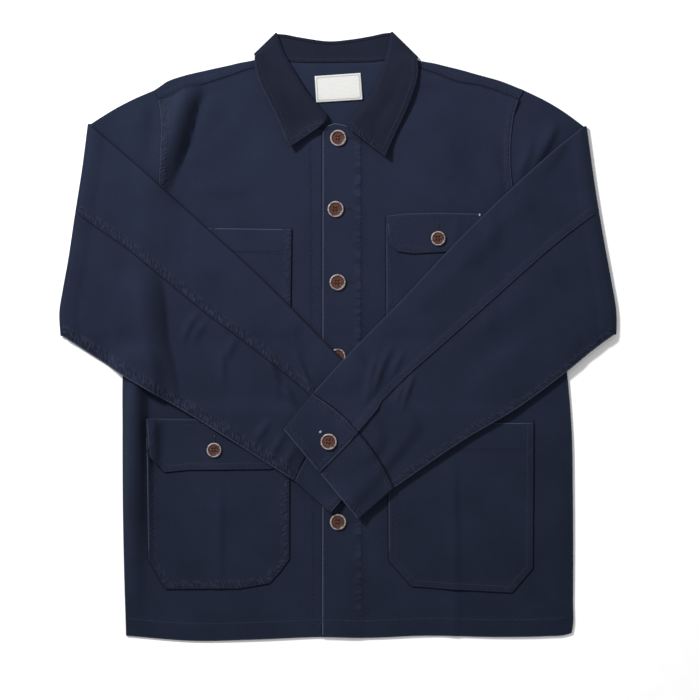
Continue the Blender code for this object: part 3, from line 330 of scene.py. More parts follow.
# ---------------------------------------------------------------- curves and grids
def through(rows, knots, places):
    """Smooth curve that meets each row at its knot, read at the places: cubic spans whose
    slope at a knot is that between its neighbours."""
    rows = np.asarray(rows, float)
    slope = np.gradient(rows, knots, axis=0)
    span = np.clip(np.searchsorted(knots, places, side="right") - 1, 0, len(knots) - 2)
    width = (knots[span + 1] - knots[span])[:, None]
    t = (places - knots[span])[:, None] / width
    ends = (1 + 2 * t) * (1 - t) ** 2 * rows[span] + t * t * (3 - 2 * t) * rows[span + 1]
    return ends + width * (t * (1 - t) ** 2 * slope[span] - t * t * (1 - t) * slope[span + 1])


def chord_shares(points):
    """Share of the way along a line of points at which each of them lies."""
    steps = np.linalg.norm(np.diff(np.asarray(points, float), axis=0), axis=1)
    travelled = np.r_[0.0, np.cumsum(steps)]
    return travelled / travelled[-1]


def curve(points, shares):
    """Points of the smooth curve through given points, at shares of its length."""
    return through(points, chord_shares(points), np.asarray(shares, float))


def bent(points, shares):
    """Points of the straight-sided line through given points."""
    points = np.asarray(points, float)
    knots = chord_shares(points)
    return np.stack([np.interp(shares, knots, column) for column in points.T], axis=1)


def even_shares(points, count):
    """Evenly spread shares, the nearest one moved onto each given point."""
    shares = np.linspace(0.0, 1.0, count + 1)
    for knot in chord_shares(points)[1:-1]:
        shares[1 + np.abs(shares[1:-1] - knot).argmin()] = knot
    return shares


def portion(values):
    """How far each of a run of values has come from the first to the last."""
    return (values - values[0]) / (values[-1] - values[0])


def spread_shares(line):
    """Shares of the points of a line, between even ones and how far across it they are."""
    return 0.5 * (np.linspace(0.0, 1.0, len(line)) + portion(line[:, 0]))


def length_of(line):
    """Length of a line of points."""
    return np.linalg.norm(np.diff(line, axis=0), axis=1).sum()


def raised(plan, z):
    """Plan points with their heights."""
    return np.concatenate([plan, z[..., None]], axis=-1)


def one_way(axis, pad):
    """Padding of a grid along one of its two axes only."""
    return [pad if axis == other else (0, 0) for other in (0, 1)]


def patch(bottom, top, left, right):
    """Grid between four sides: each point adds the blends across and up, less the corners."""
    t = portion(0.5 * (left[:, 1] + right[:, 1]))[:, None, None]
    s = spread_shares(bottom)[None, :, None]
    ruled = (1 - t) * bottom[None] + t * top[None]
    sides = (1 - s) * left[:, None] + s * right[:, None]
    corners = ((1 - t) * ((1 - s) * bottom[0] + s * bottom[-1])
               + t * ((1 - s) * top[0] + s * top[-1]))
    return ruled + sides - corners


def normals_of(line, outward):
    """Level unit normals of a plan line, turned to the side that outward points to."""
    tangent = np.gradient(line, axis=0)
    tangent /= np.linalg.norm(tangent, axis=1)[:, None]
    normal = np.stack([-tangent[:, 1], tangent[:, 0]], axis=1)
    return normal * np.sign(normal @ np.asarray(outward, float))[:, None]


def ease(share):
    """Smooth step from 0 to 1."""
    share = np.clip(share, 0.0, 1.0)
    return share * share * (3 - 2 * share)


def nearest(line, x, y):
    """Run along a line of points to the place nearest to each plan point, and how far off
    that point is, positive to the left of the way along the line."""
    line = np.asarray(line, float)[:, :2]
    steps = np.diff(line, axis=0)
    lengths = np.linalg.norm(steps, axis=1)
    starts = np.r_[0.0, np.cumsum(lengths)][:-1]
    gap = np.full(np.shape(x), np.inf)
    run = np.zeros(np.shape(x))
    side = np.ones(np.shape(x))
    for (ax, ay), (sx, sy), length, start in zip(line, steps, lengths, starts):
        share = np.clip(((x - ax) * sx + (y - ay) * sy) / (length * length + 1e-9), 0.0, 1.0)
        dx = x - ax - share * sx
        dy = y - ay - share * sy
        away = np.hypot(dx, dy)
        closer = away < gap
        gap = np.where(closer, away, gap)
        run = np.where(closer, start + share * length, run)
        side = np.where(closer, np.where(sx * dy - sy * dx < 0, -1.0, 1.0), side)
    return run, gap * side


FOLD_STEPS = 24


def fold_height(piece, x, y):
    """Height of the soft folds of a piece: along each fold's smooth line the height is
    crest x exp(-(distance / half width) squared), the half width its own on each side, or
    crest x (1 - (distance / half width) squared) on a side with a sharp foot."""
    height = np.zeros(np.shape(x))
    for halves, rows in FOLDS.get(piece, ()):
        rows = np.array(rows, float)
        rows = np.hstack([rows, np.broadcast_to(np.array(halves, float), (len(rows), 2))])
        fine = through(rows, chord_shares(rows[:, :2]), np.linspace(0.0, 1.0, FOLD_STEPS))
        run, aside = nearest(fine, x, y)
        travelled = chord_shares(fine[:, :2])
        run = run / length_of(fine[:, :2])
        crest, left, right = (np.interp(run, travelled, fine[:, k]) for k in (2, 3, 4))
        half = np.where(aside > 0, left, right)
        share = (aside / half) ** 2
        section = np.where(half < 0, np.clip(1 - share, 0.0, 1.0), np.exp(-share))
        height = height + np.maximum(crest, 0.0) * section
    return height


def lie(x, y):
    """Slight unevenness of cloth on a table: the sum of three slow waves, 0 to 1."""
    wave = np.sin(x / 31.0 + 1.3 * np.sin(y / 57.0)) + np.sin(y / 43.0 + 0.9 * np.sin(x / 49.0))
    wave = wave + 0.7 * np.sin((x + 0.6 * y) / 23.0 + 2.0)
    return 0.5 + wave / 5.4


# ---------------------------------------------------------------- the heap
class Heap:
    """Highest point of what already lies on the table, in each cell of a square raster."""

    CELL = 2.0
    SAMPLE = 0.45 * CELL     # a piece is noted at points no further apart than this
    HALF_WIDTH = 400.0
    HALF_LENGTH = 440.0

    def __init__(self):
        columns = round(2 * self.HALF_WIDTH / self.CELL)
        rows = round(2 * self.HALF_LENGTH / self.CELL)
        self.top = np.full((rows, columns), -GAP)

    def lay(self, grid, wall=WALL):
        """Note the upper face of a grid of points half way through a wall. Between four
        points the cloth follows the upper one of the two ways to halve them."""
        place = []
        for axis in (0, 1):
            longest = np.linalg.norm(np.diff(grid, axis=axis), axis=2).max()
            parts = math.ceil(longest / self.SAMPLE)
            spans = grid.shape[axis] - 1
            at = np.linspace(0.0, spans, spans * parts + 1)
            low = np.minimum(at.astype(int), spans - 1)
            place.append((low, at - low))
        (r, v), (c, u) = place
        v = v[:, None]
        u = u[None, :]
        corners = (grid[r][:, c], grid[r][:, c + 1], grid[r + 1][:, c], grid[r + 1][:, c + 1])
        weights = ((1 - v) * (1 - u), (1 - v) * u, v * (1 - u), v * u)
        x, y = (sum(weight * corner[..., i] for weight, corner in zip(weights, corners))
                for i in (0, 1))
        z00, z01, z10, z11 = (corner[..., 2] for corner in corners)
        one = np.where(u > v, z00 + u * (z01 - z00) + v * (z11 - z01),
                       z00 + v * (z10 - z00) + u * (z11 - z10))
        other = np.where(u + v < 1, z00 + u * (z01 - z00) + v * (z10 - z00),
                         z11 + (1 - u) * (z10 - z11) + (1 - v) * (z01 - z11))
        column = ((x + self.HALF_WIDTH) / self.CELL).astype(int)
        row = ((y + self.HALF_LENGTH) / self.CELL).astype(int)
        np.maximum.at(self.top, (row, column), np.maximum(one, other) + wall / 2)

    def rest(self, kind):
        """Height at which the next piece lies, as a function of x and y: the highest point
        nearby, then averaged over less than that distance, so never below the heap."""
        stays_up, slope = (round(value / self.CELL) for value in DRAPE[kind])
        reach = stays_up + slope
        padded = np.pad(self.top, reach, mode="edge")
        rows, columns = self.top.shape
        high = self.top
        for i in range(-reach, reach + 1):
            for j in range(-reach, reach + 1):
                if i * i + j * j <= reach * reach:
                    window = padded[reach + i:reach + i + rows, reach + j:reach + j + columns]
                    high = np.maximum(high, window)
        weights = 1 + np.cos(np.linspace(-math.pi, math.pi, 2 * slope + 3)[1:-1])
        weights /= weights.sum()
        for axis in (0, 1):
            padded = np.pad(high, one_way(axis, (slope, slope)), mode="edge")
            count = high.shape[axis]
            high = sum(weight * padded.take(range(i, i + count), axis)
                       for i, weight in enumerate(weights))

        def height(x, y):
            """The height between the four cells nearest to each point."""
            column = np.clip((x + self.HALF_WIDTH) / self.CELL - 0.5, 0, columns - 1.001)
            row = np.clip((y + self.HALF_LENGTH) / self.CELL - 0.5, 0, rows - 1.001)
            c = column.astype(int)
            r = row.astype(int)
            u = column - c
            v = row - r
            near = (1 - u) * high[r, c] + u * high[r, c + 1]
            far = (1 - u) * high[r + 1, c] + u * high[r + 1, c + 1]
            return (1 - v) * near + v * far

        return height

    def disc(self, x, y, radius):
        """Offsets of the cells' middles from a point, and which of them a disc covers."""
        rows, columns = np.indices(self.top.shape)
        dx = (columns + 0.5) * self.CELL - self.HALF_WIDTH - x
        dy = (rows + 0.5) * self.CELL - self.HALF_LENGTH - y
        return dx, dy, dx * dx + dy * dy <= (radius + self.CELL) ** 2

    def lay_disc(self, x, y, radius, height):
        """Note a round piece with a level top."""
        inside = self.disc(x, y, radius)[2]
        self.top[inside] = np.maximum(self.top[inside], height)

    def under(self, x, y, radius):
        """Highest point below a disc, and the slope of the heap there along x and y."""
        dx, dy, inside = self.disc(x, y, radius)
        terms = np.stack([dx[inside], dy[inside], np.ones(inside.sum())], axis=1)
        plane = np.linalg.lstsq(terms, self.top[inside], rcond=None)[0]
        above = (self.top[inside] - terms @ plane).max()
        return plane[2] + above, plane[0], plane[1]


def laid(plan, rest, wall=WALL, piece=""):
    """Grid of a piece laid on the heap: its plan, half its wall above the gap, with its
    folds and a slight unevenness."""
    x = plan[..., 0]
    y = plan[..., 1]
    z = rest(x, y) + GAP + wall / 2 + fold_height(piece, x, y) + UNEVEN * lie(x, y)
    return np.stack([x, y, z], axis=-1)


SUPPORT = 1.2            # an extra line of the grid runs this far inside each edge


def supported(grid, sides="bottom top first last"):
    """Grid with one more line close inside each named border, a set distance along its own
    lines, so that shading turns only at the edge."""
    for name, axis, end in (("bottom", 0, 0), ("top", 0, -1), ("first", 1, 0), ("last", 1, -1)):
        if name not in sides.split():
            continue
        rows = np.moveaxis(grid, axis, 0)
        edge, inner = (rows[0], rows[1]) if end == 0 else (rows[-1], rows[-2])
        length = np.linalg.norm(inner - edge, axis=-1, keepdims=True)
        extra = edge + (inner - edge) * np.minimum(SUPPORT / np.maximum(length, 1e-6), 0.5)
        rows = np.insert(rows, 1 if end == 0 else len(rows) - 1, extra, axis=0)
        grid = np.moveaxis(rows, 0, axis)
    return grid


# ---------------------------------------------------------------- seams and cloth objects
FAR = 400.0              # millimetres, where no seam is near


def seam_fields(grid, seams):
    """For each point: run along its seam, signed distance to it, the distances of that
    seam's two rows of stitches, how much it puckers, how pale its edge is painted, from wear
    and painted highlight (below 0: how dark a painted shade along it is), and whether all
    this is clear. A point follows the seam that has an edge or a row nearest to it; puckers
    and rows stop where neighbours follow different seams."""
    x, y = grid[..., 0], grid[..., 1]
    best = np.full(x.shape, np.inf)
    owner = np.zeros(x.shape)
    fields = np.zeros((*x.shape, 7))
    fields[..., 1] = FAR
    for number, (line, rows, pucker, wear_and_painted_light, *where) in enumerate(seams):
        part = where[0] if where else slice(None)     # the rows of the grid that it touches
        run, away = nearest(line, x[part], y[part])
        gap = np.full(x.shape, np.inf)
        gap[part] = np.minimum.reduce([np.abs(away - row) for row in (0.0, *rows)])
        values = np.zeros_like(fields)
        values[part] = np.stack([run, away, *(np.full(run.shape, value) for value in
                                              (*rows, pucker, wear_and_painted_light, 1.0))], axis=-1)
        closer = gap < best
        fields = np.where(closer[..., None], values, fields)
        owner = np.where(closer, number, owner)
        best = np.minimum(best, gap)
    for axis in (0, 1):
        apart = np.linalg.norm(np.diff(grid, axis=axis), axis=2)
        jump = np.abs(np.diff(fields[..., 1], axis=axis)) > 1.3 * apart + 0.5
        jump |= np.diff(owner, axis=axis) != 0
        bend = jump | (np.abs(np.diff(fields[..., 0], axis=axis)) > 2 * apart + 2)
        for pad in ((0, 1), (1, 0)):
            fields[..., 4][np.pad(bend, one_way(axis, pad))] = 0.0
            fields[..., 6][np.pad(jump, one_way(axis, pad))] = 0.0
    return fields


def from_border(grid):
    """Distance of each point from the nearest border, measured along the grid's lines."""
    gaps = []
    for axis in (0, 1):
        steps = np.linalg.norm(np.diff(grid, axis=axis), axis=2)
        travelled = np.pad(np.cumsum(steps, axis=axis), one_way(axis, (1, 0)))
        gaps += [travelled, travelled.take([-1], axis) - travelled]
    return np.minimum.reduce(gaps), gaps[2], gaps[0]


def quads(rows, columns):
    """Corners of the faces of a grid of points, numbered row by row."""
    index = np.arange(rows * columns).reshape(rows, columns)
    return np.stack([index[:-1, :-1], index[:-1, 1:], index[1:, 1:], index[1:, :-1]],
                    axis=-1).reshape(-1, 4)


def new_mesh(name, points, faces, merge=False):
    """Smooth mesh of millimetre points with its faces turned outwards."""
    mesh = bpy.data.meshes.new(name)
    mesh.from_pydata((points * MM + OFFSET).tolist(), [], faces.tolist())
    sheet = bmesh.new()
    sheet.from_mesh(mesh)
    if merge:
        bmesh.ops.remove_doubles(sheet, verts=sheet.verts, dist=0.002 * MM)
    bmesh.ops.recalc_face_normals(sheet, faces=sheet.faces)
    sheet.to_mesh(mesh)
    sheet.free()
    mesh.shade_smooth()
    return mesh


def put(name, mesh, material, node=None):
    """Place a piece in the scene: it rides on the jacket, and may stand for a CAD node."""
    mesh.materials.append(material)
    piece = bpy.data.objects.new(name, mesh)
    bpy.context.scene.collection.objects.link(piece)
    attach(piece, "root")
    if node:
        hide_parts(node)
    return piece


def add_cloth(node, parts, wall=WALL, material="canvas"):
    """One piece of cloth from grids that share their borders, each with its seams. Points
    that fall together are merged, and Solidify gives the wall about the middle."""
    points, faces, fields, grain, border = [], [], [], [], []
    for grid, seams in parts:
        start = sum(len(one) for one in points)
        faces.append(quads(*grid.shape[:2]) + start)
        points.append(grid.reshape(-1, 3))
        fields.append(seam_fields(grid, seams).reshape(-1, 7))
        edge, across, along = from_border(grid)
        border.append(edge.reshape(-1))
        grain.append(np.stack([across, along], axis=-1).reshape(-1, 2))
    points, faces, fields, grain, border = map(np.concatenate, (points, faces, fields, grain,
                                                                border))
    _, kept, place = np.unique(np.round(points / 0.002).astype(int), axis=0,
                               return_index=True, return_inverse=True)
    place = place.reshape(-1)
    mesh = new_mesh(node + "_cloth", points[kept], place[faces])
    vertex = np.empty(len(mesh.loops), int)
    mesh.loops.foreach_get("vertex_index", vertex)
    for name, pair in (("seam", fields[kept][:, :2]), ("grain", grain[kept])):
        layer = mesh.uv_layers.new(name=name)
        layer.data.foreach_set("uv", (pair[vertex] * MM).ravel())
    values = {"row_a": fields[kept][:, 2] * MM, "row_b": fields[kept][:, 3] * MM,
              "pucker": fields[kept][:, 4], "wear_and_painted_light": fields[kept][:, 5],
              "clear": fields[kept][:, 6], "edge": border[kept] * MM}
    for name, value in values.items():
        mesh.attributes.new(name, "FLOAT", "POINT").data.foreach_set("value", value)
    piece = put(node + "_cloth", mesh, MATERIALS[material], node)
    shell = piece.modifiers.new("wall", "SOLIDIFY")
    shell.thickness = wall * MM
    shell.offset = 0.0
    return piece


# ---------------------------------------------------------------- collar sections
def collar_lines(table, count):
    """Roll line, leaf edge and neck seam at evenly spaced stations of a table."""
    rows = np.asarray(table, float)
    knots = np.linspace(0.0, 1.0, len(rows))
    station = through(rows, knots, np.linspace(0.0, 1.0, count + 1))
    return station[:, 0:2], station[:, 2:4], station[:, 4:6]


def unit(vectors):
    """Vectors of the same direction and of length one."""
    return vectors / np.linalg.norm(vectors, axis=-1)[..., None]


LEAF_SHARES = np.r_[1.0, 0.975, np.linspace(0.93, 0.14, 13)]   # of the leaf's width
ROLL_DEGREES = np.linspace(90.0, -90.0, 10)    # round the roll at the top of the collar
LEAF_FLAT = len(LEAF_SHARES)
LEAF_PUFF = 0.7          # the leaf bulges this much between its edge and its roll
LEAF_LIFT = 3.0          # its outer edge stands off the front by this much,
FRONT_LIFT = 4.4         # its front edge by this much,
ROLL_LIFT = 2.6          # and its roll by this much


def leaf_section(length):
    """The leaf across its width: distance from the roll line and layer, from the outer edge
    over the roll and in to the turned edge."""
    half = PLY / 2
    angle = np.radians(ROLL_DEGREES)
    flat = np.stack([LEAF_SHARES * length, np.full(LEAF_FLAT, COLLAR_TURN)], axis=1)
    roll = np.stack([EDGE - half * np.cos(angle), COLLAR_TURN - half + half * np.sin(angle)],
                    axis=1)
    return np.concatenate([flat, roll, [(EDGE + ROLL_HEM, COLLAR_TURN - PLY)]])


def leaf_rows(roll, leaf, turn_degrees, side_normal, height):
    """Grid of the leaf over stations: each turned about its line by its own angle."""
    direction = unit(leaf - roll)
    length = np.linalg.norm(leaf - roll, axis=1)
    sections = np.array([leaf_section(one) for one in length])
    across = sections[..., 0]
    layer = sections[..., 1]
    plan = roll[:, None] + direction[:, None] * across[..., None]
    turn = np.radians(np.asarray(turn_degrees, float))[:, None]
    plan = plan + side_normal[:, None] * (layer * np.cos(turn))[..., None]
    return raised(plan, height(plan, turn, layer))


# ---------------------------------------------------------------- the body is laid
button_low, button_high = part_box("front_button_2")
shift = np.array(0.5 * (button_low + button_high))
OFFSET = np.array([shift[0] - BUTTONS[1][1] * MM, shift[1] - BUTTONS[1][2] * MM,
                   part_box("back")[0].z])

heap = Heap()
LEVEL = [WALL / 2 + PLY * layer for layer in range(4)]    # middles of stacked layers
NECK_AXIS = 0.5 * (LEVEL[0] + LEVEL[3])                   # height about which the neck turns
SIDES = ("right", "left")
OUTWARD = {"right": (-1.0, 0.3), "left": (1.0, 0.3)}


def neck_height(plan, turn, layer):
    """Height of a collar point on the circles about the axis of the neck's turn."""
    return NECK_AXIS + layer * np.sin(turn)


# The collar's back leaf lies lowest, on the table.
back_roll, back_leaf, back_seam = collar_lines(COLLAR_BACK, NECK_STATIONS)
leaf_back = leaf_rows(back_roll, back_leaf, [-90.0] * len(back_roll),
                      np.zeros_like(back_roll), neck_height)
heap.lay(leaf_back[:, :LEAF_FLAT])

# The back lies on it.
back_rest = heap.rest("panel")


def side_line(side, from_share):
    """Side seam and armhole from the hem up, to a share of the armhole from its top."""
    seam = curve(SIDE[side], even_shares(SIDE[side], SIDE_ROWS))
    shares = ARM_SHARES[ARM_SHARES >= from_share - 1e-9]
    arm = curve(ARMHOLE[side], shares)[::-1]
    return np.concatenate([seam[:-1], arm])


shoulder_edge = {}
shoulder_normal = {}
for side in SIDES:
    line = curve(SHOULDER[side], even_shares(SHOULDER[side], SHOULDER_COLUMNS))
    line[-1] = (COLLAR_BACK[0] if side == "right" else COLLAR_BACK[-1])[4:6]
    shoulder_normal[side] = normals_of(line, (0.0, 1.0))
    shoulder_edge[side] = line - EDGE * shoulder_normal[side]
neck_line = back_seam.copy()
neck_line[0] = shoulder_edge["right"][-1]
neck_line[-1] = shoulder_edge["left"][-1]
back_top = np.concatenate([shoulder_edge["right"][:-1], neck_line,
                           shoulder_edge["left"][::-1][1:]])
back_side = {}
for side in SIDES:
    back_side[side] = side_line(side, 0.0)
    back_side[side][-1] = shoulder_edge[side][0]
back_hem = curve(HEM_BACK, spread_shares(back_top))
back_hem[:, 1] += HEM_SET_BACK
for side, place in (("right", 0), ("left", -1)):
    back_side[side][0] = back_hem[place]
back_plan = patch(back_hem, back_top, back_side["right"], back_side["left"])
back_main = laid(back_plan, back_rest)
back_main[-1, :, 2] -= UNEVEN * lie(*back_main[-1, :, :2].T)
heap.lay(back_main)
neck_from = SHOULDER_COLUMNS
neck_to = SHOULDER_COLUMNS + NECK_STATIONS

# The stand's back, between the neck seam and the roll.
STAND_START = EDGE + ROLL_HEM + SEAM
STAND_SHARES = np.linspace(0.0, 1.0, 10)


def stand_rows(roll, leaf, seam):
    """Plan of the stand: from beside the leaf's turned edge to the neck seam."""
    start = roll + unit(leaf - roll) * STAND_START
    end = seam - unit(seam - start) * SEAM
    return start[:, None] + (end - start)[:, None] * STAND_SHARES[None, :, None]


stand_back_plan = stand_rows(back_roll, back_leaf, back_seam)
stand_back = raised(stand_back_plan, np.full(stand_back_plan.shape[:2], LEVEL[1]))
heap.lay(stand_back)

# The bare label on the inside of the back.
label_sides = [bent([LABEL_CORNERS["bottom"][i], LABEL_CORNERS["top"][i]],
                    np.linspace(0, 1, 13)) for i in (0, 1)]
label_ends = [bent(LABEL_CORNERS[end], np.linspace(0, 1, 19)) for end in ("bottom", "top")]
label = laid(patch(*label_ends, *label_sides), heap.rest("patch"), LABEL_WALL)
heap.lay(label, LABEL_WALL)

# Heights of the layer above: fronts, the turned shoulders and the stand's front.
front_rest = heap.rest("panel")


def upper_height(plan):
    """Height of the middle of that layer at points of a plan."""
    return front_rest(plan[..., 0], plan[..., 1]) + GAP + WALL / 2


ARM_LAP = 1.1            # the body laps over the sleeve where it is set in
ARM_LIFT = {"right": 1.5, "left": 0.9}     # and stands this much higher there
ARM_LIFT_WIDTH = 10.0
ARM_LAP_WIDTH = 6.0

shoulder_turns = {}
seam_line = {}
for side in SIDES:
    arm_end = curve(ARMHOLE[side], [SHOULDER_SEAM_SHARE])
    neck_end = np.add(COLLAR_WING[side][-1][4:6], FORWARD_SEAM_END)
    ends = np.concatenate([arm_end, np.asarray(FORWARD_SEAM[side], float), neck_end[None]])
    seam_line[side] = curve(ends, even_shares(ends, SHOULDER_COLUMNS))
    edge_columns = (slice(0, neck_from + 1) if side == "right" else slice(neck_to, None))
    lower = back_main[-1, edge_columns]
    lower = lower if side == "right" else lower[::-1]
    top_z = upper_height(lower[:, :2])
    axis_z = 0.5 * (lower[:, 2] + top_z)
    radius = 0.5 * (top_z - lower[:, 2])
    rows = []
    for degrees in np.linspace(-90.0, 90.0, TURN_STEPS + 1):
        angle = math.radians(degrees)
        plan = lower[:, :2] + shoulder_normal[side] * (radius * math.cos(angle))[:, None]
        rows.append(np.column_stack([plan, axis_z + radius * math.sin(angle)]))
    end_plan = seam_line[side] + (0.0, SEAM)
    for share in (0.3, 0.6, 1.0):
        plan = (1 - share) * rows[TURN_STEPS][:, :2] + share * end_plan
        rows.append(np.column_stack([plan, upper_height(plan)]))
    turned = np.array(rows)
    from_arm = np.linalg.norm(turned[..., :2] - turned[:, :1, :2], axis=-1)
    above = np.linspace(-1.0, 2.0, len(turned))[:, None].clip(0.0, 1.0)
    turned[..., 0] += OUTWARD[side][0] * ARM_LAP * above * ease(1 - from_arm / ARM_LAP_WIDTH)
    turned[..., 2] += ARM_LIFT[side] * above * ease(1 - from_arm / ARM_LIFT_WIDTH)
    shoulder_turns[side] = turned

# Fronts: right first, then the left front over it at the closure.
wing = {side: collar_lines(COLLAR_WING[side], WING_STATIONS) for side in SIDES}


def front(side):
    """Grid of a front, from its side seam to its closure edge."""
    neck_seam = wing[side][2][::-1]
    run_in = seam_line[side]
    neck_seam = neck_seam[neck_seam[:, 1] < run_in[-1, 1] - 2.0]
    end = np.concatenate([neck_seam[-1:], FRONT_NECK_END[side]])
    end = bent(end, even_shares(end, NECK_END_COLUMNS))
    top = np.concatenate([run_in, neck_seam, end[1:]])
    sides = side_line(side, SHOULDER_SEAM_SHARE)
    sides[-1] = top[0]
    shares = spread_shares(top)
    hem = curve(FRONT_HEM[side], 1 - shares if side == "left" else shares)
    sides[0] = hem[0]
    closure = hem[-1] + (top[-1] - hem[-1]) * portion(sides[:, 1])[:, None]
    plan = patch(hem, top, sides, closure)
    from_arm = np.abs(nearest(sides[SIDE_ROWS:], plan[..., 0], plan[..., 1])[1])
    plan[..., 0] += OUTWARD[side][0] * ARM_LAP * ease(1 - from_arm / ARM_LAP_WIDTH)
    grid = laid(plan, front_rest if side == "right" else heap.rest("panel"),
                piece="front_" + side)
    grid[..., 2] += ARM_LIFT[side] * ease(1 - from_arm / ARM_LIFT_WIDTH)
    return grid


def stand_front(side):
    """Grid of the stand's front part, level with the fronts."""
    plan = stand_rows(*wing[side])[1:]
    return raised(plan, upper_height(plan))


front_grid = {"right": front("right")}
heap.lay(front_grid["right"])
stand_fronts = {}
for side in SIDES:
    stand_fronts[side] = stand_front(side)
    heap.lay(stand_fronts[side])
    heap.lay(shoulder_turns[side])
front_grid["left"] = front("left")
heap.lay(front_grid["left"])

# The collar: wings, side turns and the back, joined into one leaf and one stand.
wing_rest = heap.rest("collar")


def wing_height(plan, turn, layer):
    """Height of a point of the leaf where it lies on the fronts."""
    x, y = plan[..., 0], plan[..., 1]
    across = np.linspace(0.0, 1.0, layer.shape[1])
    bulge = LEAF_PUFF * np.sin(math.pi * np.clip(across * 1.4, 0, 1)) ** 0.7
    bulge = (bulge + fold_height("collar_fall", x, y)) * (layer > COLLAR_TURN - 1e-6)
    inward = np.r_[1 - LEAF_SHARES, np.ones(layer.shape[1] - LEAF_FLAT)]
    along = np.linspace(0.0, 1.0, len(layer))[:, None]
    rolled = ROLL_LIFT * ease((inward - 0.4) / 0.5) * (1 - ease((along - 0.55) / 0.35))
    bulge = bulge + np.maximum(rolled, FRONT_LIFT * ease(1 - along / 0.3))
    bulge = bulge + LEAF_LIFT * ease((0.55 - inward) / 0.55)
    return wing_rest(x, y) + GAP + WALL / 2 + layer - COLLAR_TURN + bulge


WING_LIFT_SHARE = 2.0 / 7.0   # of the wing, over which the leaf comes down to the front
TURN_ANGLES = np.linspace(90.0, -90.0, 15)
TURN_COUNT = len(TURN_ANGLES)
fall_parts = {}
stand_parts = {}
for side in SIDES:
    roll, leaf, seam = wing[side]
    flat = leaf_rows(roll, leaf, [90.0] * len(roll), np.zeros_like(roll), wing_height)
    along = np.linspace(0.0, 1.0, len(roll))
    flat[..., 2] += PLY * ease(1 - along / WING_LIFT_SHARE)[:, None]
    last = [np.repeat(line[-1:], TURN_COUNT, axis=0) for line in (roll, leaf, seam)]
    leaf_normal = normals_of(np.stack([roll[-1], leaf[-1]]), OUTWARD[side])[0]
    turned = leaf_rows(last[0], last[1], TURN_ANGLES, np.tile(leaf_normal, (TURN_COUNT, 1)),
                       neck_height)
    settle = ease((along - 0.8) / 0.2)[:, None]
    flat[..., 2] = (1 - settle) * flat[..., 2] + settle * np.maximum(turned[0, :, 2],
                                                                      flat[..., 2])
    fall_parts[side] = (flat[:-1], turned)
    stand_normal = normals_of(np.stack([roll[-1], seam[-1]]), OUTWARD[side])[0]
    angles = np.radians(TURN_ANGLES)[:, None]
    layer = COLLAR_TURN - PLY
    mixed = unit(leaf_normal + (stand_normal - leaf_normal) * STAND_SHARES[:, None])
    plan = stand_rows(*last) + mixed * (layer * np.cos(angles))[..., None]
    z = np.broadcast_to(NECK_AXIS + layer * np.sin(angles), plan.shape[:2])
    stand_parts[side] = (stand_fronts[side][:-1], raised(plan, z))
    heap.lay(flat[:, :LEAF_FLAT + 1])


def round_the_neck(parts, back):
    """One grid from the closure, round the back of the neck, to the closure again."""
    right_front, right_turn = parts["right"]
    left_front, left_turn = parts["left"]
    return np.concatenate([right_front, right_turn[:-1], back[:-1],
                           left_turn[::-1], left_front[::-1]])


fall = round_the_neck(fall_parts, leaf_back)
stand = round_the_neck(stand_parts, stand_back)

# Patch pockets and flaps.


def patch_grid(name, spacing=3.0):
    """A patch cut with straight sides and cut corners, laid on what it is sewn to."""
    shape = PATCHES[name]
    width = math.dist(shape["top"][0], shape["top"][-1])
    height = math.dist(shape["top"][0], shape["bottom"][0])
    ends = {end: bent(shape[end], even_shares(shape[end], round(width / spacing)))
            for end in ("bottom", "top")}
    up = np.linspace(0.0, 1.0, round(height / spacing) + 1)
    sides = [bent([ends["bottom"][i], ends["top"][i]], up) for i in (0, -1)]
    grid = laid(patch(ends["bottom"], ends["top"], *sides), heap.rest("patch"), piece=name)
    heap.lay(grid)
    return grid


POCKETS = ("chest_pocket_right", "chest_pocket_left", "hip_pocket_right", "hip_pocket_left")
FLAPS = ("chest_flap_left", "hip_flap_right")
patches = {name: patch_grid(name) for name in POCKETS + FLAPS}
button_seats = {}


def seat(name, x, y, diameter):
    """Note how a button lies on the heap: its foot and the slope below it."""
    height, slope_x, slope_y = heap.under(x, y, diameter / 2)
    heap.lay_disc(x, y, diameter / 2, height + GAP + BUTTON_HEIGHT)
    button_seats[name] = (x, y, diameter, height + GAP, slope_x, slope_y)


for button in BUTTONS:
    seat(*button)

# ---------------------------------------------------------------- sleeves and cuffs
SLEEVE_AXIS = LEVEL[0] + FOLD_OUTER              # height about which a sleeve folds back
MIDDLE = 0.5 * (FOLD_INNER + FOLD_OUTER)
EDGE_ANGLES = np.radians([75.0, 50.0, 25.0, 0.0, -25.0, -50.0, -75.0])
STATION_SAMPLES = 65                             # at which a station's line is measured
NEXT_SHARE = 0.005                               # step that gives the line's direction
SEAM_LIFT = 0.7          # the top sleeve's felled edge stands this far over the under sleeve
SEAM_LIFT_WIDTH = 12.0
SLIT_FROM = {"right": 0.88, "left": 0.87}        # where the slit above the cuff begins
SLIT_LIFT = 2.8
SLIT_OVERLAP = 3.0
HEAD_BULGE = {"right": 2.8, "left": 3.2}         # the sleeve's head bulges in plan,
HEAD_OUT, HEAD_UP = 0.45, 0.89                   # in this direction,
HEAD_WIDTH = 0.35                                # over this share of its width
LOWER_LIFT = {"right": 1.6, "left": 4.5}         # the lower edge stands off the body


def edge_turn(share, half, middle):
    """Round a doubled edge: the lower one (share 1) from the higher layer to the lower one,
    the top one (share 0) back to the higher layer."""
    way = 1 if share else -1
    return [(share, way * half * math.cos(angle), middle + half * math.sin(angle))
            for angle in way * EDGE_ANGLES]


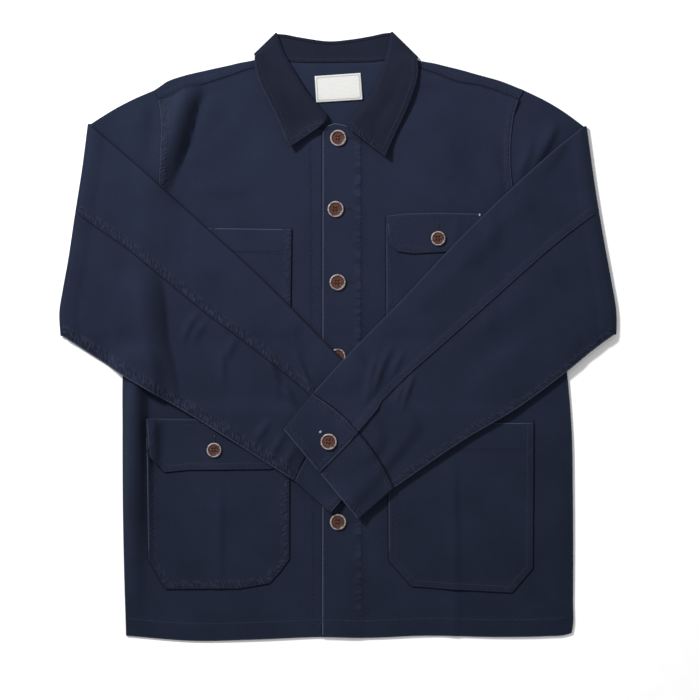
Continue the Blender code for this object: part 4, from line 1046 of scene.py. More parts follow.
def sleeve_ring(piece):
    """One piece's part of the sleeve's ring: share of the width from the top edge, further
    distance that way, and layer. The under sleeve lies below the back seam."""
    if piece == "under":
        shares = ARM_SHARES[ARM_SHARES > BACK_SEAM_SHARE + 1e-9]
        ring = [(BACK_SEAM_SHARE, SEAM / 2, FOLD_OUTER)]
        ring += [(share, 0.0, FOLD_OUTER) for share in shares]
        ring += edge_turn(1.0, PLY / 2, MIDDLE)
        ring.append((1.0, 0.0, FOLD_INNER))
        return np.array(ring)
    ring = [(1.0, -ARM_SEAM, FOLD_INNER)]
    ring += [(share, 0.0, FOLD_INNER) for share in ARM_SHARES[-2::-1]]
    ring += edge_turn(0.0, PLY / 2, MIDDLE)
    shares = ARM_SHARES[ARM_SHARES < BACK_SEAM_SHARE - 1e-9]
    ring += [(share, 0.0, FOLD_OUTER) for share in shares]
    ring.append((BACK_SEAM_SHARE, -SEAM / 2, FOLD_OUTER))
    return np.array(ring)


def drifted(side, shares, along):
    """Shares across the sleeve, moved with its back seam at a share of the way along it."""
    places, drifts = zip(*BACK_SEAM_DRIFT[side])
    return shares + np.interp(along, places, drifts) * 4 * shares * (1 - shares)


def seam_bow(shares):
    """How far the cuff's seam has bowed towards the sleeve: a flat arch."""
    return CUFF_SEAM_BOW * 4 * shares * (1 - shares)


def station_points(line, shares, further):
    """Plan points on one station's line from the top edge to the lower edge, each moved on
    by a further distance."""
    line = np.asarray(line, float)
    fine = curve(line, np.linspace(0.0, 1.0, STATION_SAMPLES))
    length = length_of(fine)
    shares = (EDGE + shares * (length - 2 * EDGE)) / length
    direction = unit(curve(line, shares + NEXT_SHARE) - curve(line, shares - NEXT_SHARE))
    return curve(line, shares) + direction * further[:, None]


def towards_fold(side):
    """Unit vector from the cuff's free edge up along the sleeve."""
    ends = (SLEEVE_TOP_EDGE[side][-1], SLEEVE_LOWER_EDGE[side][-1])
    return unit(np.subtract(ends, CUFF_FREE_EDGE[side]).sum(axis=0))


def puff(shares):
    """Lift of the sleeve's upper layer: it rises quickly from both edges and is nearly
    level between them, 1 - (2 share - 1) to the sixth."""
    return 1 - np.abs(2 * np.clip(shares, 0.0, 1.0) - 1) ** 6


def sleeve(side, piece, rest):
    """Grid of a sleeve piece: stations out from the armhole, round the fold, and along the
    part that crosses the front down to the cuff. Returned in those three parts."""
    shares, further, layer = sleeve_ring(piece).T
    arm = np.array(ARMHOLE[side]) + (OUTWARD[side][0] * ARM_SEAM, 0.0)
    arm_points = station_points(arm, shares, further)
    outline = np.array(SLEEVE_FOLD[side], float)
    out_normal = normals_of(outline, OUTWARD[side])
    fold_line = outline - out_normal * (FOLD_OUTER + WALL / 2)
    fold_points = station_points(fold_line, shares, further)
    places = np.linspace(0.0, 1.0, STATION_SAMPLES)
    normal = normals_of(curve(fold_line, places), OUTWARD[side])
    ring_normal = np.stack([np.interp(shares, places, axis) for axis in normal.T], axis=1)
    outer = (layer - FOLD_INNER) / PLY                   # 0 inner layer, 1 outer layer
    out = []
    for share in np.linspace(0.0, 1.0, SLEEVE_OUT_STATIONS + 1)[:-1]:
        plan = (1 - share) * arm_points + share * fold_points
        bulge = HEAD_BULGE[side] * math.sin(math.pi * share) * ease(1 - shares / HEAD_WIDTH)
        plan = plan + np.outer(bulge, (OUTWARD[side][0] * HEAD_OUT, HEAD_UP))
        folds = fold_height("sleeve_out_" + side, plan[:, 0], plan[:, 1]) * ease(share * 3)
        folds += fold_height("front_" + side, plan[:, 0], plan[:, 1]) * ease(1 - share * 1.5)
        z = SLEEVE_AXIS - layer + folds * (1 - outer)
        out.append(np.column_stack([plan, z]))
    turned = []
    for degrees in np.linspace(-90.0, 90.0, SLEEVE_FOLD_STEPS + 1):
        angle = math.radians(degrees)
        plan = fold_points + ring_normal * (layer * math.cos(angle))[:, None]
        turned.append(np.column_stack([plan, SLEEVE_AXIS + layer * math.sin(angle)]))
    stations = np.linspace(0.0, 1.0, SLEEVE_CROSS_STATIONS + 1)[1:]
    top_edge = curve(SLEEVE_TOP_EDGE[side], stations)
    lower_edge = curve(SLEEVE_LOWER_EDGE[side], stations)
    round_fold = fold_points - station_points(outline[[0, -1]], shares, further)
    crossing = []
    for along, top, low in zip(stations, top_edge, lower_edge):
        across = drifted(side, shares, along)
        width = np.linalg.norm(low - top)
        seam_at = drifted(side, BACK_SEAM_SHARE, along)
        from_seam = (seam_at - across) * width
        slit = ease((along - SLIT_FROM[side]) / 0.04) if piece == "top" else 0.0
        near_edge = ease(1 - np.abs(from_seam) / SEAM_LIFT_WIDTH) * (outer > 0.99)
        beyond = further + SLIT_OVERLAP * slit * near_edge
        plan = station_points([top, low], across, beyond)
        plan = plan + round_fold * (1 - ease(along / ROUNDS_OFF_BY))
        bow = seam_bow(across) * ease((along - BOWS_FROM) / (1 - BOWS_FROM))
        plan = plan + towards_fold(side) * bow[:, None]
        settled = ease(along / SETTLES_BY)
        lying = rest(plan[:, 0], plan[:, 1]) + GAP
        base = (1 - settled) * np.maximum(SLEEVE_AXIS + FOLD_INNER - WALL / 2, lying)
        base = base + settled * lying
        folds = fold_height("sleeve_cross_" + side, plan[:, 0], plan[:, 1])
        folds = folds + UNEVEN * lie(plan[:, 0] + 90.0, plan[:, 1])
        folds = folds + SLEEVE_PUFF * puff(across) * ease(along / 0.1)
        z = base + WALL / 2 + (layer - FOLD_INNER) + folds * outer * ease(along / 0.06)
        z = z + LOWER_LIFT[side] * ease(2 * across - 1) * ease(along / 0.12)
        if piece == "top":
            z = z + near_edge * (SEAM_LIFT * ease(along / 0.06) + SLIT_LIFT * slit)
        crossing.append(np.column_stack([plan, z]))
    return np.array(out), np.array(turned), np.array(crossing)


CUFF_PLY = CUFF_WALL + GAP
CUFF_EDGE = CUFF_PLY / 2 + CUFF_WALL / 2


def cuff_ring():
    """Round the cuff: from the end under the tab, over the lower edge, along the hidden
    side, round the top edge and out along the tab."""
    half = CUFF_PLY / 2
    spread = np.arange(0.0, 1.0 + CUFF_SPACING / 2, CUFF_SPACING)
    ring = [(share, 0.0, CUFF_PLY) for share in spread[spread > CUFF_UNDER_END] if share < 0.99]
    ring.insert(0, (CUFF_UNDER_END, 0.0, CUFF_PLY))
    ring += [(1.0, 0.0, CUFF_PLY)]
    ring += edge_turn(1.0, half, half)
    ring += [(share, 0.0, 0.0) for share in spread[::-1] if 0.01 < share < 0.99]
    ring += edge_turn(0.0, half, half)
    shares, layers = zip(*CUFF_TAB)
    tab = np.linspace(0.0, shares[-1], round(shares[-1] / CUFF_SPACING) + 1)
    rises = through(np.array(layers)[:, None], np.array(shares), tab)[:, 0]
    ring += [(share, 0.0, min(rise, 2.0) * CUFF_PLY) for share, rise in zip(tab, rises)]
    return np.array(ring)


def cuff_plan(side, down, shares, further):
    """Plan points of a cuff, at a share of the way down to its free edge."""
    ends = []
    for end, edge in enumerate((SLEEVE_TOP_EDGE[side], SLEEVE_LOWER_EDGE[side])):
        free = CUFF_FREE_EDGE[side][end]
        ends.append(edge[-1] + np.subtract(free, edge[-1]) * down)
    length = np.linalg.norm(ends[1] - ends[0])
    along = CUFF_EDGE + shares * (length - 2 * CUFF_EDGE) + further
    bow = seam_bow(shares) * (1 - down)
    return ends[0] + unit(ends[1] - ends[0]) * along[:, None] + towards_fold(side) * bow[:, None]


def cuff_depth(side, share):
    """From the cuff's seam to its free edge, at a share of the way across."""
    top, low = (cuff_plan(side, down, np.array([share]), 0.0)[0] for down in (0.0, 1.0))
    return np.linalg.norm(low - top)


def cuff(side, rest):
    """Grid of a cuff from its seam to its free edge; its upper layer bulges slightly."""
    shares, further, layer = cuff_ring().T
    rows = []
    for down in np.linspace(SEAM / cuff_depth(side, 0.0), 1.0, CUFF_ROWS):
        plan = cuff_plan(side, down, shares, further)
        bulge = CUFF_PUFF * puff(shares) * np.clip(layer / CUFF_PLY, 0.0, 1.0)
        z = rest(plan[:, 0], plan[:, 1]) + GAP + CUFF_WALL / 2 + layer
        z = z + LOWER_LIFT[side] * ease(2 * shares - 1)
        rows.append(np.column_stack([plan, z + bulge * math.sin(math.pi * down) ** 0.5]))
    return np.array(rows)


def cuff_button_place(side):
    """Plan point of the button on a cuff's tab."""
    down = 1 - CUFF_BUTTON_UP / cuff_depth(side, CUFF_BUTTON_ACROSS)
    return cuff_plan(side, down, np.array([CUFF_BUTTON_ACROSS]), 0.0)[0]


def on_table(x, y):
    """Height of the bare table."""
    return np.zeros_like(x)


for side in SIDES:
    for piece in ("top", "under"):
        out, turned, crossing = sleeve(side, piece, on_table)
        heap.lay(np.concatenate([out, turned]))
sleeves = {}
cuffs = {}
for side in SIDES:
    rest = heap.rest("sleeve")
    for piece in ("top", "under"):
        sleeves[piece, side] = sleeve(side, piece, rest)
        heap.lay(np.concatenate(sleeves[piece, side]))
    cuffs[side] = cuff(side, rest)
    heap.lay(cuffs[side], CUFF_WALL)
    seat("cuff_button_" + side, *cuff_button_place(side), BUTTON_DIAMETER)

# ---------------------------------------------------------------- materials
def colour(text):
    """Linear colour of an sRGB hex value."""
    values = [int(text[i:i + 2], 16) / 255 for i in (1, 3, 5)]
    return [v / 12.92 if v <= 0.04045 else ((v + 0.055) / 1.055) ** 2.4 for v in values] + [1.0]


def add(tree, kind, feeds=(), out=0, **settings):
    """Add one node to a tree with its settings, each socket fed by a number or a socket, in
    order or by name. Returns the output that is asked for."""
    new = tree.nodes.new("ShaderNode" + kind)
    for name, value in settings.items():
        setattr(new, name, value)
    for socket, value in (feeds.items() if isinstance(feeds, dict) else enumerate(feeds)):
        if isinstance(value, bpy.types.NodeSocket):
            tree.links.new(value, new.inputs[socket])
        else:
            new.inputs[socket].default_value = value
    return new.outputs[out]


def material(name, **constants):
    """A new material, its tree, and its shader with constant sockets set."""
    made = bpy.data.materials.new(name)
    made.use_nodes = True
    shader = made.node_tree.nodes["Principled BSDF"]
    for socket, value in constants.items():
        shader.inputs[socket.replace("_", " ")].default_value = value
    return made, made.node_tree


def finished(made, **feeds):
    """A material, once its shader's varying sockets are linked."""
    shader = made.node_tree.nodes["Principled BSDF"]
    for socket, value in feeds.items():
        made.node_tree.links.new(value, shader.inputs[socket.replace("_", " ")])
    return made


LIGHT_FALLOFF_SLOPE = 0.8        # painted paler higher up and towards the middle: a painted fall-off of the key light
SHADE_FROM = 0.40 + LIGHT_FALLOFF_SLOPE * OFFSET[1]
SHADE_RANGE = 0.9
RIPPLE_RUN, RIPPLE_AWAY = 0.0029, 0.0075       # size of a pucker along and away from a seam
RIPPLE_TALL, WIDE_TALL = 0.0008, 0.0078        # height of a pucker, and of one on a wide band
GROOVE_FROM, GROOVE_TO = 0.0003, 0.0014        # half width of a groove, where it ends
GROOVE_DEEP, BAND_TALL = -0.00028, 0.00040
WEAVE_TALL, NAP_TALL, CLOUD_TALL = 0.00010, 0.00008, 0.0006
YARN_ALONG, YARN_ACROSS = 90.0, 700.0          # slubs to the metre


def canvas(name, base, light, wear_and_painted_light, painted_shade_colour):
    """Cotton canvas, yarn-spun and plain woven, dyed navy, cut, lockstitched and washed. Its
    eye: matt and slightly mottled, a soft cross-hatch of slubs, short ripples across every
    seam, which look paler on their crests, and edges paler from rubbing, in part a painted
    highlight. Painted into its colour as well: a fall-off of the light, paler higher up and
    in the middle, and painted shade along many seams and edges, in the grooves of stitching
    and between ripples."""
    made, tree = material(name, Specular_IOR_Level=0.10, Sheen_Weight=0.02, Sheen_Roughness=0.5)
    seam = add(tree, "UVMap", uv_map="seam")
    run, away = (add(tree, "SeparateXYZ", (seam,), axis) for axis in (0, 1))
    row_a, row_b, pucker, wear_and_light_by, clear = (
        add(tree, "Attribute", (), "Fac", attribute_name=one)
        for one in ("row_a", "row_b", "pucker", "wear_and_painted_light", "clear"))
    # Ripples: slanted noise that changes every 3 mm along the seam. On a wide band, where
    # pucker is above 1, it lies level, changes more slowly and runs further from the seam.
    wide = add(tree, "Math", (pucker, 1.0), operation="SUBTRACT", use_clamp=True)
    lean, per_run, per_away, fade_width, tall = (
        add(tree, "Math", (wide, *change), operation="MULTIPLY_ADD")
        for change in ((-2.5, 0.5), (-1200.0, 1 / RIPPLE_RUN), (-480.0, 1 / RIPPLE_AWAY),
                       (0.035, 0.0050), (WIDE_TALL - RIPPLE_TALL, RIPPLE_TALL)))
    slant = add(tree, "Math", (away, lean, run), operation="MULTIPLY_ADD")
    place = add(tree, "CombineXYZ", [add(tree, "Math", pair, operation="MULTIPLY")
                                     for pair in ((slant, per_run), (away, per_away))])
    noise = add(tree, "TexNoise", {"Vector": place, "Scale": 1.0, "Detail": 1.5,
                                   "Roughness": 0.45})
    middle = add(tree, "Math", (row_a, row_b), operation="ADD")
    middle = add(tree, "Math", (middle, 0.5), operation="MULTIPLY")
    span = add(tree, "Math", (row_b, middle), operation="SUBTRACT")
    apart = []
    for row in (middle, row_a, row_b):
        gap = add(tree, "Math", (away, row), operation="SUBTRACT")
        apart.append(add(tree, "Math", (gap,), operation="ABSOLUTE"))
    off = add(tree, "Math", (apart[0], span), operation="SUBTRACT")
    reach = add(tree, "MapRange", (off, 0.0, fade_width, 1.0, 0.0),
                interpolation_type="SMOOTHSTEP")
    strong = add(tree, "Math", (pucker, 1.0), operation="MINIMUM")
    strong = add(tree, "Math", (wide, -1.9, strong), operation="MULTIPLY_ADD")
    inside = add(tree, "MapRange", (away, -0.0004, 0.0004), interpolation_type="SMOOTHSTEP")
    for share in (strong, inside, clear):
        reach = add(tree, "Math", (reach, share), operation="MULTIPLY")
    crest = add(tree, "MapRange", (noise, 0.38, 0.62), interpolation_type="SMOOTHSTEP")
    ripple = add(tree, "Math", (crest, reach), operation="MULTIPLY")
    # Each row of stitches pulls a groove; the cloth is double between seam and rows.
    grooves = [add(tree, "MapRange", (gap, GROOVE_FROM, GROOVE_TO, 1.0, 0.0),
                   interpolation_type="SMOOTHSTEP") for gap in apart[1:]]
    groove = add(tree, "Math", grooves, operation="MAXIMUM")
    groove = add(tree, "Math", (groove, clear), operation="MULTIPLY")
    past = add(tree, "Math", (away, row_b), operation="SUBTRACT")
    band = add(tree, "MapRange", (past, -0.0002, 0.0014, 1.0, 0.0),
               interpolation_type="SMOOTHSTEP")
    for share in (inside, clear):
        band = add(tree, "Math", (band, share), operation="MULTIPLY")
    # Slubs of warp and weft, 0.45 mm yarn drawn three times as coarse so that it shows.
    grain = add(tree, "UVMap", uv_map="grain")
    yarns = []
    for scale in ((YARN_ACROSS, YARN_ALONG, 1.0), (YARN_ALONG, YARN_ACROSS, 1.0)):
        yarn = add(tree, "Mapping", {"Vector": grain, "Scale": scale})
        yarns.append(add(tree, "TexNoise", {"Vector": yarn, "Scale": 1.0, "Detail": 2.0,
                                            "Roughness": 0.6}))
    weave = add(tree, "Math", yarns, operation="ADD")
    table = add(tree, "TexCoord", (), "Object")
    cloud = add(tree, "TexNoise", {"Vector": table, "Scale": 16.0, "Detail": 4.0,
                                   "Roughness": 0.55})
    nap = add(tree, "TexNoise", {"Vector": table, "Scale": 420.0, "Detail": 2.0})
    # Height in metres: ripples, grooves, bands, yarns and nap.
    height = add(tree, "Math", (ripple, tall), operation="MULTIPLY")
    for part, size in ((groove, GROOVE_DEEP), (band, BAND_TALL), (weave, WEAVE_TALL),
                       (nap, NAP_TALL), (cloud, CLOUD_TALL)):
        height = add(tree, "Math", (part, size, height), operation="MULTIPLY_ADD")
    bump = add(tree, "Bump", {"Height": height, "Distance": 1.0, "Strength": 1.0})
    # Colour: mottled, with a painted fall-off of the light; paler on crests from wear; edges
    # paler from rubbing and painted highlight; painted shade in the grooves, between ripples
    # and along seams.
    # Painted light: the mottling grows paler up the jacket and towards its middle, a painted
    # fall-off of the key light.
    x, y = (add(tree, "SeparateXYZ", (table,), axis) for axis in (0, 1))
    across = add(tree, "Math", (x, OFFSET[0]), operation="SUBTRACT")
    across = add(tree, "Math", (across,), operation="ABSOLUTE")
    mottle_and_light_falloff = cloud
    for part, size in ((nap, 0.35), (weave, 0.30), (y, LIGHT_FALLOFF_SLOPE), (across, -LIGHT_FALLOFF_SLOPE)):
        mottle_and_light_falloff = add(tree, "Math", (part, size, mottle_and_light_falloff), operation="MULTIPLY_ADD")
    mottle_and_light_falloff = add(tree, "MapRange", (mottle_and_light_falloff, SHADE_FROM, SHADE_FROM + SHADE_RANGE))
    from_edge = add(tree, "Math", (away,), operation="ABSOLUTE")
    # Along a seam: where its value is above 0, a pale line at the edge, partly wear and partly
    # painted highlight; below 0, a darker band of painted shade.
    rubbed_and_highlit, shaded = (add(tree, "MapRange", (from_edge, *limits)) for limits in (
        (GROOVE_FROM, GROOVE_TO, 1.0, 0.0), (0.0008, 0.0025, -1.0, 0.0)))
    wear_and_light_parts = []
    for part in (rubbed_and_highlit, shaded):
        part = add(tree, "Math", (part, clear), operation="MULTIPLY")
        wear_and_light_parts.append(add(tree, "Math", (part, wear_and_light_by), operation="MULTIPLY",
                              use_clamp=True))
    rubbed_and_highlit, shaded = wear_and_light_parts
    pale = add(tree, "Math", (ripple, 0.055, rubbed_and_highlit), operation="MULTIPLY_ADD", use_clamp=True)
    # Painted shade: darker in the stitch grooves, between ripple crests, and in the band along
    # seams whose value is below 0.
    painted_shade_share = add(tree, "Math", (groove, pucker), operation="MULTIPLY")
    painted_shade_share = add(tree, "Math", (painted_shade_share, 0.4, shaded), operation="MULTIPLY_ADD")
    valley = add(tree, "Math", (reach, ripple), operation="SUBTRACT")
    painted_shade_share = add(tree, "Math", (valley, 0.22, painted_shade_share), operation="MULTIPLY_ADD", use_clamp=True)
    dyed = colour(base)
    for share, other in ((mottle_and_light_falloff, light), (pale, wear_and_painted_light), (painted_shade_share, painted_shade_colour)):
        dyed = add(tree, "Mix", {0: share, 6: dyed, 7: colour(other)}, 2, data_type="RGBA")
    return finished(made, Base_Color=dyed, Normal=bump,
                    Roughness=add(tree, "MapRange", (nap, 0.0, 1.0, 0.78, 0.95)))


def thread(name, base, light):
    """Core-spun polyester sewing thread, twisted: slightly glossier than the canvas, with
    pale and dark turns of its twist, drawn at 0.5 mm."""
    made, tree = material(name, Roughness=0.6, Specular_IOR_Level=0.3)
    twist = add(tree, "TexNoise", {"Vector": add(tree, "TexCoord", (), "Object"),
                                   "Scale": 1800.0, "Detail": 1.0})
    tone = add(tree, "Mix", {0: twist, 6: colour(base), 7: colour(light)}, 2, data_type="RGBA")
    return finished(made, Base_Color=tone,
                    Normal=add(tree, "Bump", {"Height": twist, "Distance": 0.00015}))


def resin(name, rim, dish, streak, hole):
    """Cast polyester resin made to look like horn, turned and polished: a reddish dish with
    darker streaks, a dark ring of painted shade round it, holes painted dark with shade, a
    pale rim that is partly a painted highlight, and a soft gloss."""
    made, tree = material(name, Specular_IOR_Level=0.35, Coat_Weight=0.1, Coat_Roughness=0.2)
    outer, painted_hole_shade = (add(tree, "Attribute", (), "Fac", attribute_name=one)
                     for one in ("outer", "painted_hole_shade"))
    drawn = add(tree, "Mapping", {"Vector": add(tree, "TexCoord", (), "Object"),
                                  "Rotation": (0.0, 0.0, 0.7), "Scale": (160.0, 620.0, 300.0)})
    swirl = add(tree, "TexNoise", {"Vector": drawn, "Scale": 1.0, "Detail": 3.0,
                                   "Distortion": 0.8})
    # Painted shade: a dark ring where the dish rises to the rim, and in the holes; the rim's pale
    # is partly a painted highlight.
    ring, edge, wall = (
        add(tree, "MapRange", (outer, *limits), interpolation_type="SMOOTHSTEP")
        for limits in ((0.66, 0.73, 0.0, 0.8), (0.77, 0.83), (0.955, 0.99, 1.0, 0.0)))
    edge = add(tree, "Math", (edge, wall), operation="MULTIPLY")
    streaks = add(tree, "MapRange", (swirl, 0.46, 0.62, 0.0, 0.75))
    tone = colour(dish)
    for share, other in ((ring, hole), (edge, rim), (streaks, streak), (painted_hole_shade, hole)):
        tone = add(tree, "Mix", {0: share, 6: tone, 7: colour(other)}, 2, data_type="RGBA")
    return finished(made, Base_Color=tone,
                    Roughness=add(tree, "MapRange", (swirl, 0.0, 1.0, 0.30, 0.46)),
                    Normal=add(tree, "Bump", {"Height": swirl, "Distance": 0.00005}))


def ribbon(name, base, shade, line):
    """Damask-woven polyester label, off-white and bare: a fine rib across it, a slight
    sheen, and a thin woven border line."""
    made, tree = material(name, Specular_IOR_Level=0.3, Sheen_Weight=0.1)
    ribs = add(tree, "Mapping", {"Vector": add(tree, "UVMap", uv_map="grain"),
                                 "Scale": (120.0, 900.0, 1.0)})
    rib = add(tree, "TexNoise", {"Vector": ribs, "Scale": 1.0, "Detail": 1.0})
    edge = add(tree, "Attribute", (), "Fac", attribute_name="edge")
    off = add(tree, "Math", (edge, 0.0022), operation="SUBTRACT")
    off = add(tree, "Math", (off,), operation="ABSOLUTE")
    border = add(tree, "MapRange", (off, 0.0004, 0.0009, 0.6, 0.0))
    tone = colour(base)
    for share, other in ((rib, shade), (border, line)):
        tone = add(tree, "Mix", {0: share, 6: tone, 7: colour(other)}, 2, data_type="RGBA")
    return finished(made, Base_Color=tone,
                    Roughness=add(tree, "MapRange", (rib, 0.0, 1.0, 0.6, 0.8)),
                    Normal=add(tree, "Bump", {"Height": rib, "Distance": 0.0002}))


MATERIALS = {
    # Canvas colours: base; a paler mottling that carries the painted fall-off of the light; a pale
    # for wear and painted highlight; a near-black painted shade.
    "canvas": canvas("navy_cotton_canvas_washed", "#131928", "#1d2335", "#656e8a", "#060818"),
    "collar_canvas": canvas("navy_cotton_canvas_collar", "#0d121c", "#161a29", "#5c657f",
                            "#060818"),
    "ribbon": ribbon("off_white_woven_ribbon", "#c7c7c5", "#bcbcba", "#7a7c82"),
    "thread": thread("navy_polyester_thread_twisted", "#20263a", "#2c344a"),
    "dark_thread": thread("dark_navy_polyester_thread_twisted", "#11131b", "#1c2131"),
    "white_thread": thread("white_polyester_thread_twisted", "#8f939b", "#b4b7bc"),
    "resin": resin("brown_horn_resin_polished", "#958a88", "#4c2618", "#220d06", "#080404"),
}

# ---------------------------------------------------------------- seams of each piece
NONE = (0.0, 0.0)        # distances of the two rows of stitches from an edge
TWIN = (1.6, 7.8)
LEAF_ROWS = (1.6, 6.5)
CUFF_ROWS_IN = (1.6, 7.0)
FELLED_ROWS = (1.6, 8.5)                        # of the top sleeve's back seam
LOWER_ROWS = {"right": (2.5, 11.0), "left": (1.5, 7.0)}     # of the under sleeve's edge
HEM_ROW = 21.5
CUFF_BEND = 23.0         # x at which the left cuff's seam goes on to the under sleeve
CLOSURE_ROW = 1.8
STAND_ROW = 4.5
ENDS = {"right": 1, "left": -1}     # turns a line round, so that its piece is on its left


def plan_of(line):
    """Plan points of a line or grid."""
    return np.asarray(line)[..., :2]


def edge_of(grid):
    """Both sides and the bottom of a patch, from its top left corner round to the other."""
    return np.concatenate([plan_of(grid[::-1, 0]), plan_of(grid[0])[1:],
                           plan_of(grid[:, -1])[1:]])


def tab_end(side, low, high):
    """Plan line of the end of a cuff's tab, between two shares of the way down it."""
    return np.array([cuff_plan(side, down, np.array([TAB_SHARE]), 0.0)[0]
                     for down in np.linspace(low, high, 20)])[::ENDS[side]]


def tab_of(grid):
    """The part of a cuff's grid that is its tab."""
    return grid[:, len(grid[0]) - round(TAB_SHARE / CUFF_SPACING) - 1:]


closure = np.concatenate([plan_of(front_grid["left"][-1, -NECK_END_COLUMNS:]),
                          plan_of(front_grid["left"][-2::-1, -1])])
stitched = []            # (line, distances, grid that they lie on)
for side in SIDES:
    turn = ENDS[side]
    grid = front_grid[side]
    hem = plan_of(grid[0])[::turn]
    arm = plan_of(grid[SIDE_ROWS:, 0])[::-turn]
    shoulder = plan_of(grid[-1, :SHOULDER_COLUMNS + 1])[::-turn]
    side_seam = plan_of(grid[:SIDE_ROWS + 1, 0])[::-turn]
    # Each seam's last value paints its edge: above 0 paler, wear and painted highlight; below 0 a
    # painted shade, as along the shoulder under the turned strip.
    seams = [(hem, (HEM_ROW, HEM_ROW), 0.25, 0.15),
             (arm, TWIN, 0.7 if side == "right" else 0.3, 0.2),
             (shoulder, NONE, 0.2, -0.5), (side_seam, NONE, 0.2, 0.1)]
    # A painted shadow on the front round each of its pockets.
    laid_on = [(edge_of(grid_on), NONE, 0.0, -0.5) for name, grid_on in patches.items()
               if name.endswith(side) and name in POCKETS]
    stitched += [(hem, (HEM_ROW,), grid), (arm, TWIN, grid)]
    if side == "left":
        placket = np.array([(29.0, -353.0), (29.0, -140.0), (28.5, 60.0), (28.5, 262.0)])
        # The closure's edge is painted paler, wear and painted highlight; the placket's row gets a
        # faint painted shade.
        seams += [(closure, (CLOSURE_ROW, CLOSURE_ROW), 0.3, 0.45),
                  (placket, NONE, 1.2, -0.12)]
        stitched += [(closure, (CLOSURE_ROW,), grid), (placket, (0.0,), grid)]
    else:
        placket = np.array([(-35.0, 240.0), (-34.0, 60.0), (-32.0, -140.0), (-31.0, -353.0)])
        # A painted shadow on the right front under the left front's closure edge; the placket's
        # row gets a faint painted shade.
        seams += [(placket, NONE, 0.6, -0.12), (closure, NONE, 0.0, -0.6)]
        stitched += [(placket, (0.0,), grid)]
    add_cloth("front_" + side, [(supported(grid), seams + laid_on)])

turn_parts = []
for side in SIDES:
    grid = shoulder_turns[side]
    end = plan_of(grid[-1])[::ENDS[side]]
    # A painted shade along the turned strip's end.
    turn_parts.append((supported(grid, "top first"), [(end, TWIN, 0.15, -0.35)]))
    stitched.append((end, TWIN, grid))
hem = plan_of(back_main[0])
neck = plan_of(back_main[-1, neck_from:neck_to + 1])
add_cloth("back", [(supported(back_main, "bottom first last"),
                    [(hem, (HEM_ROW, HEM_ROW), 0.7, 0.3), (neck, NONE, 0.5, 0.0)])]
          + turn_parts)
stitched.append((hem, (HEM_ROW,), back_main))

over = WING_STATIONS + 2
last = len(fall) - over
side_right, front_edge_right = plan_of(fall[over::-1, 0]), plan_of(fall[0, :LEAF_FLAT + 1])
side_left, front_edge_left = plan_of(fall[:last:-1, 0]), plan_of(fall[-1, LEAF_FLAT::-1])
wing_right = np.concatenate([side_right, front_edge_right[1:]])
wing_left = np.concatenate([front_edge_left, side_left[1:]])
leaf_back_edge = plan_of(fall[last:over:-1, 0])
# The leaf's edges are painted paler on the wearer's right and round the back: wear and painted
# highlight.
add_cloth("collar_fall", [(supported(fall), [
    (side_right, LEAF_ROWS, 0.3, 0.12, slice(0, over + 4)),
    (front_edge_right, LEAF_ROWS, 0.8, 0.12, slice(0, over + 4)),
    (side_left, LEAF_ROWS, 0.15, 0.0, slice(last - 2, None)),
    (front_edge_left, LEAF_ROWS, 0.8, 0.0, slice(last - 2, None)),
    (leaf_back_edge, LEAF_ROWS, 0.5, 0.4, slice(over + 4, last - 2))])],
          material="collar_canvas")
stitched += [(wing_right, LEAF_ROWS, fall[:over + 4, :LEAF_FLAT + 1]),
             (wing_left, LEAF_ROWS, fall[last - 2:, :LEAF_FLAT + 1])]
seam = plan_of(stand[:, -1])
# A painted shade along the stand's neck seam.
add_cloth("collar_stand", [(supported(stand), [(seam, (STAND_ROW, STAND_ROW), 0.25, -0.3)])],
          material="collar_canvas")
stitched.append((seam[WING_STATIONS + TURN_COUNT:-WING_STATIONS - TURN_COUNT], (STAND_ROW,),
                 stand))
label_edge = np.concatenate([plan_of(label[::-1, 0]), plan_of(label[0]),
                             plan_of(label[:, -1]), plan_of(label[-1, ::-1])])
add_cloth("neck_label", [(supported(label), [(label_edge, (1.1, 1.1), 0.2, 0.0)])],
          wall=LABEL_WALL,
          material="ribbon")

HEM_DEPTH = {"chest": 29.4, "hip": 33.7}
PATCH_PUCKER = {"chest_pocket_right": (0.3, 0.45), "chest_pocket_left": (0.25, 0.2),
                "hip_pocket_right": (0.4, 0.85), "hip_pocket_left": (0.2, 0.2)}
for name, grid in patches.items():
    outline = edge_of(grid)
    lit = len(grid) - 1              # up to here the outline runs down the side that is lit
    top = plan_of(grid[-1, ::-1])
    if name in POCKETS:
        mouth = top - (0.0, HEM_DEPTH[name.split("_")[0]])
        first, second = PATCH_PUCKER[name]
        # The lit side of the outline and the top edge are painted paler, painted highlight with
        # wear; the other side and the mouth get painted shade.
        seams = [(outline[:lit + 1], TWIN, first, 0.2),
                 (outline[lit:], TWIN, second, -0.3), (mouth, NONE, 0.2, -0.3),
                 (top, NONE, 0.1, 0.3)]
        # A painted shadow on the pocket under its flap's edge.
        seams += [(edge_of(flap), NONE, 0.0, -0.8) for other, flap in patches.items()
                  if other.replace("flap", "pocket") == name and other in FLAPS]
        stitched += [(outline, TWIN, grid), (mouth, (0.0,), grid)]
    else:
        # A flap's lit side and top are painted paler: painted highlight with wear.
        seams = [(outline[:lit + 1], TWIN, 0.2, 0.2),
                 (outline[lit:], TWIN, 0.2, 0.0), (top, LEAF_ROWS, 0.2, 0.2)]
        stitched += [(outline, TWIN, grid), (top, LEAF_ROWS, grid)]
    add_cloth(name, [(supported(grid), seams)])

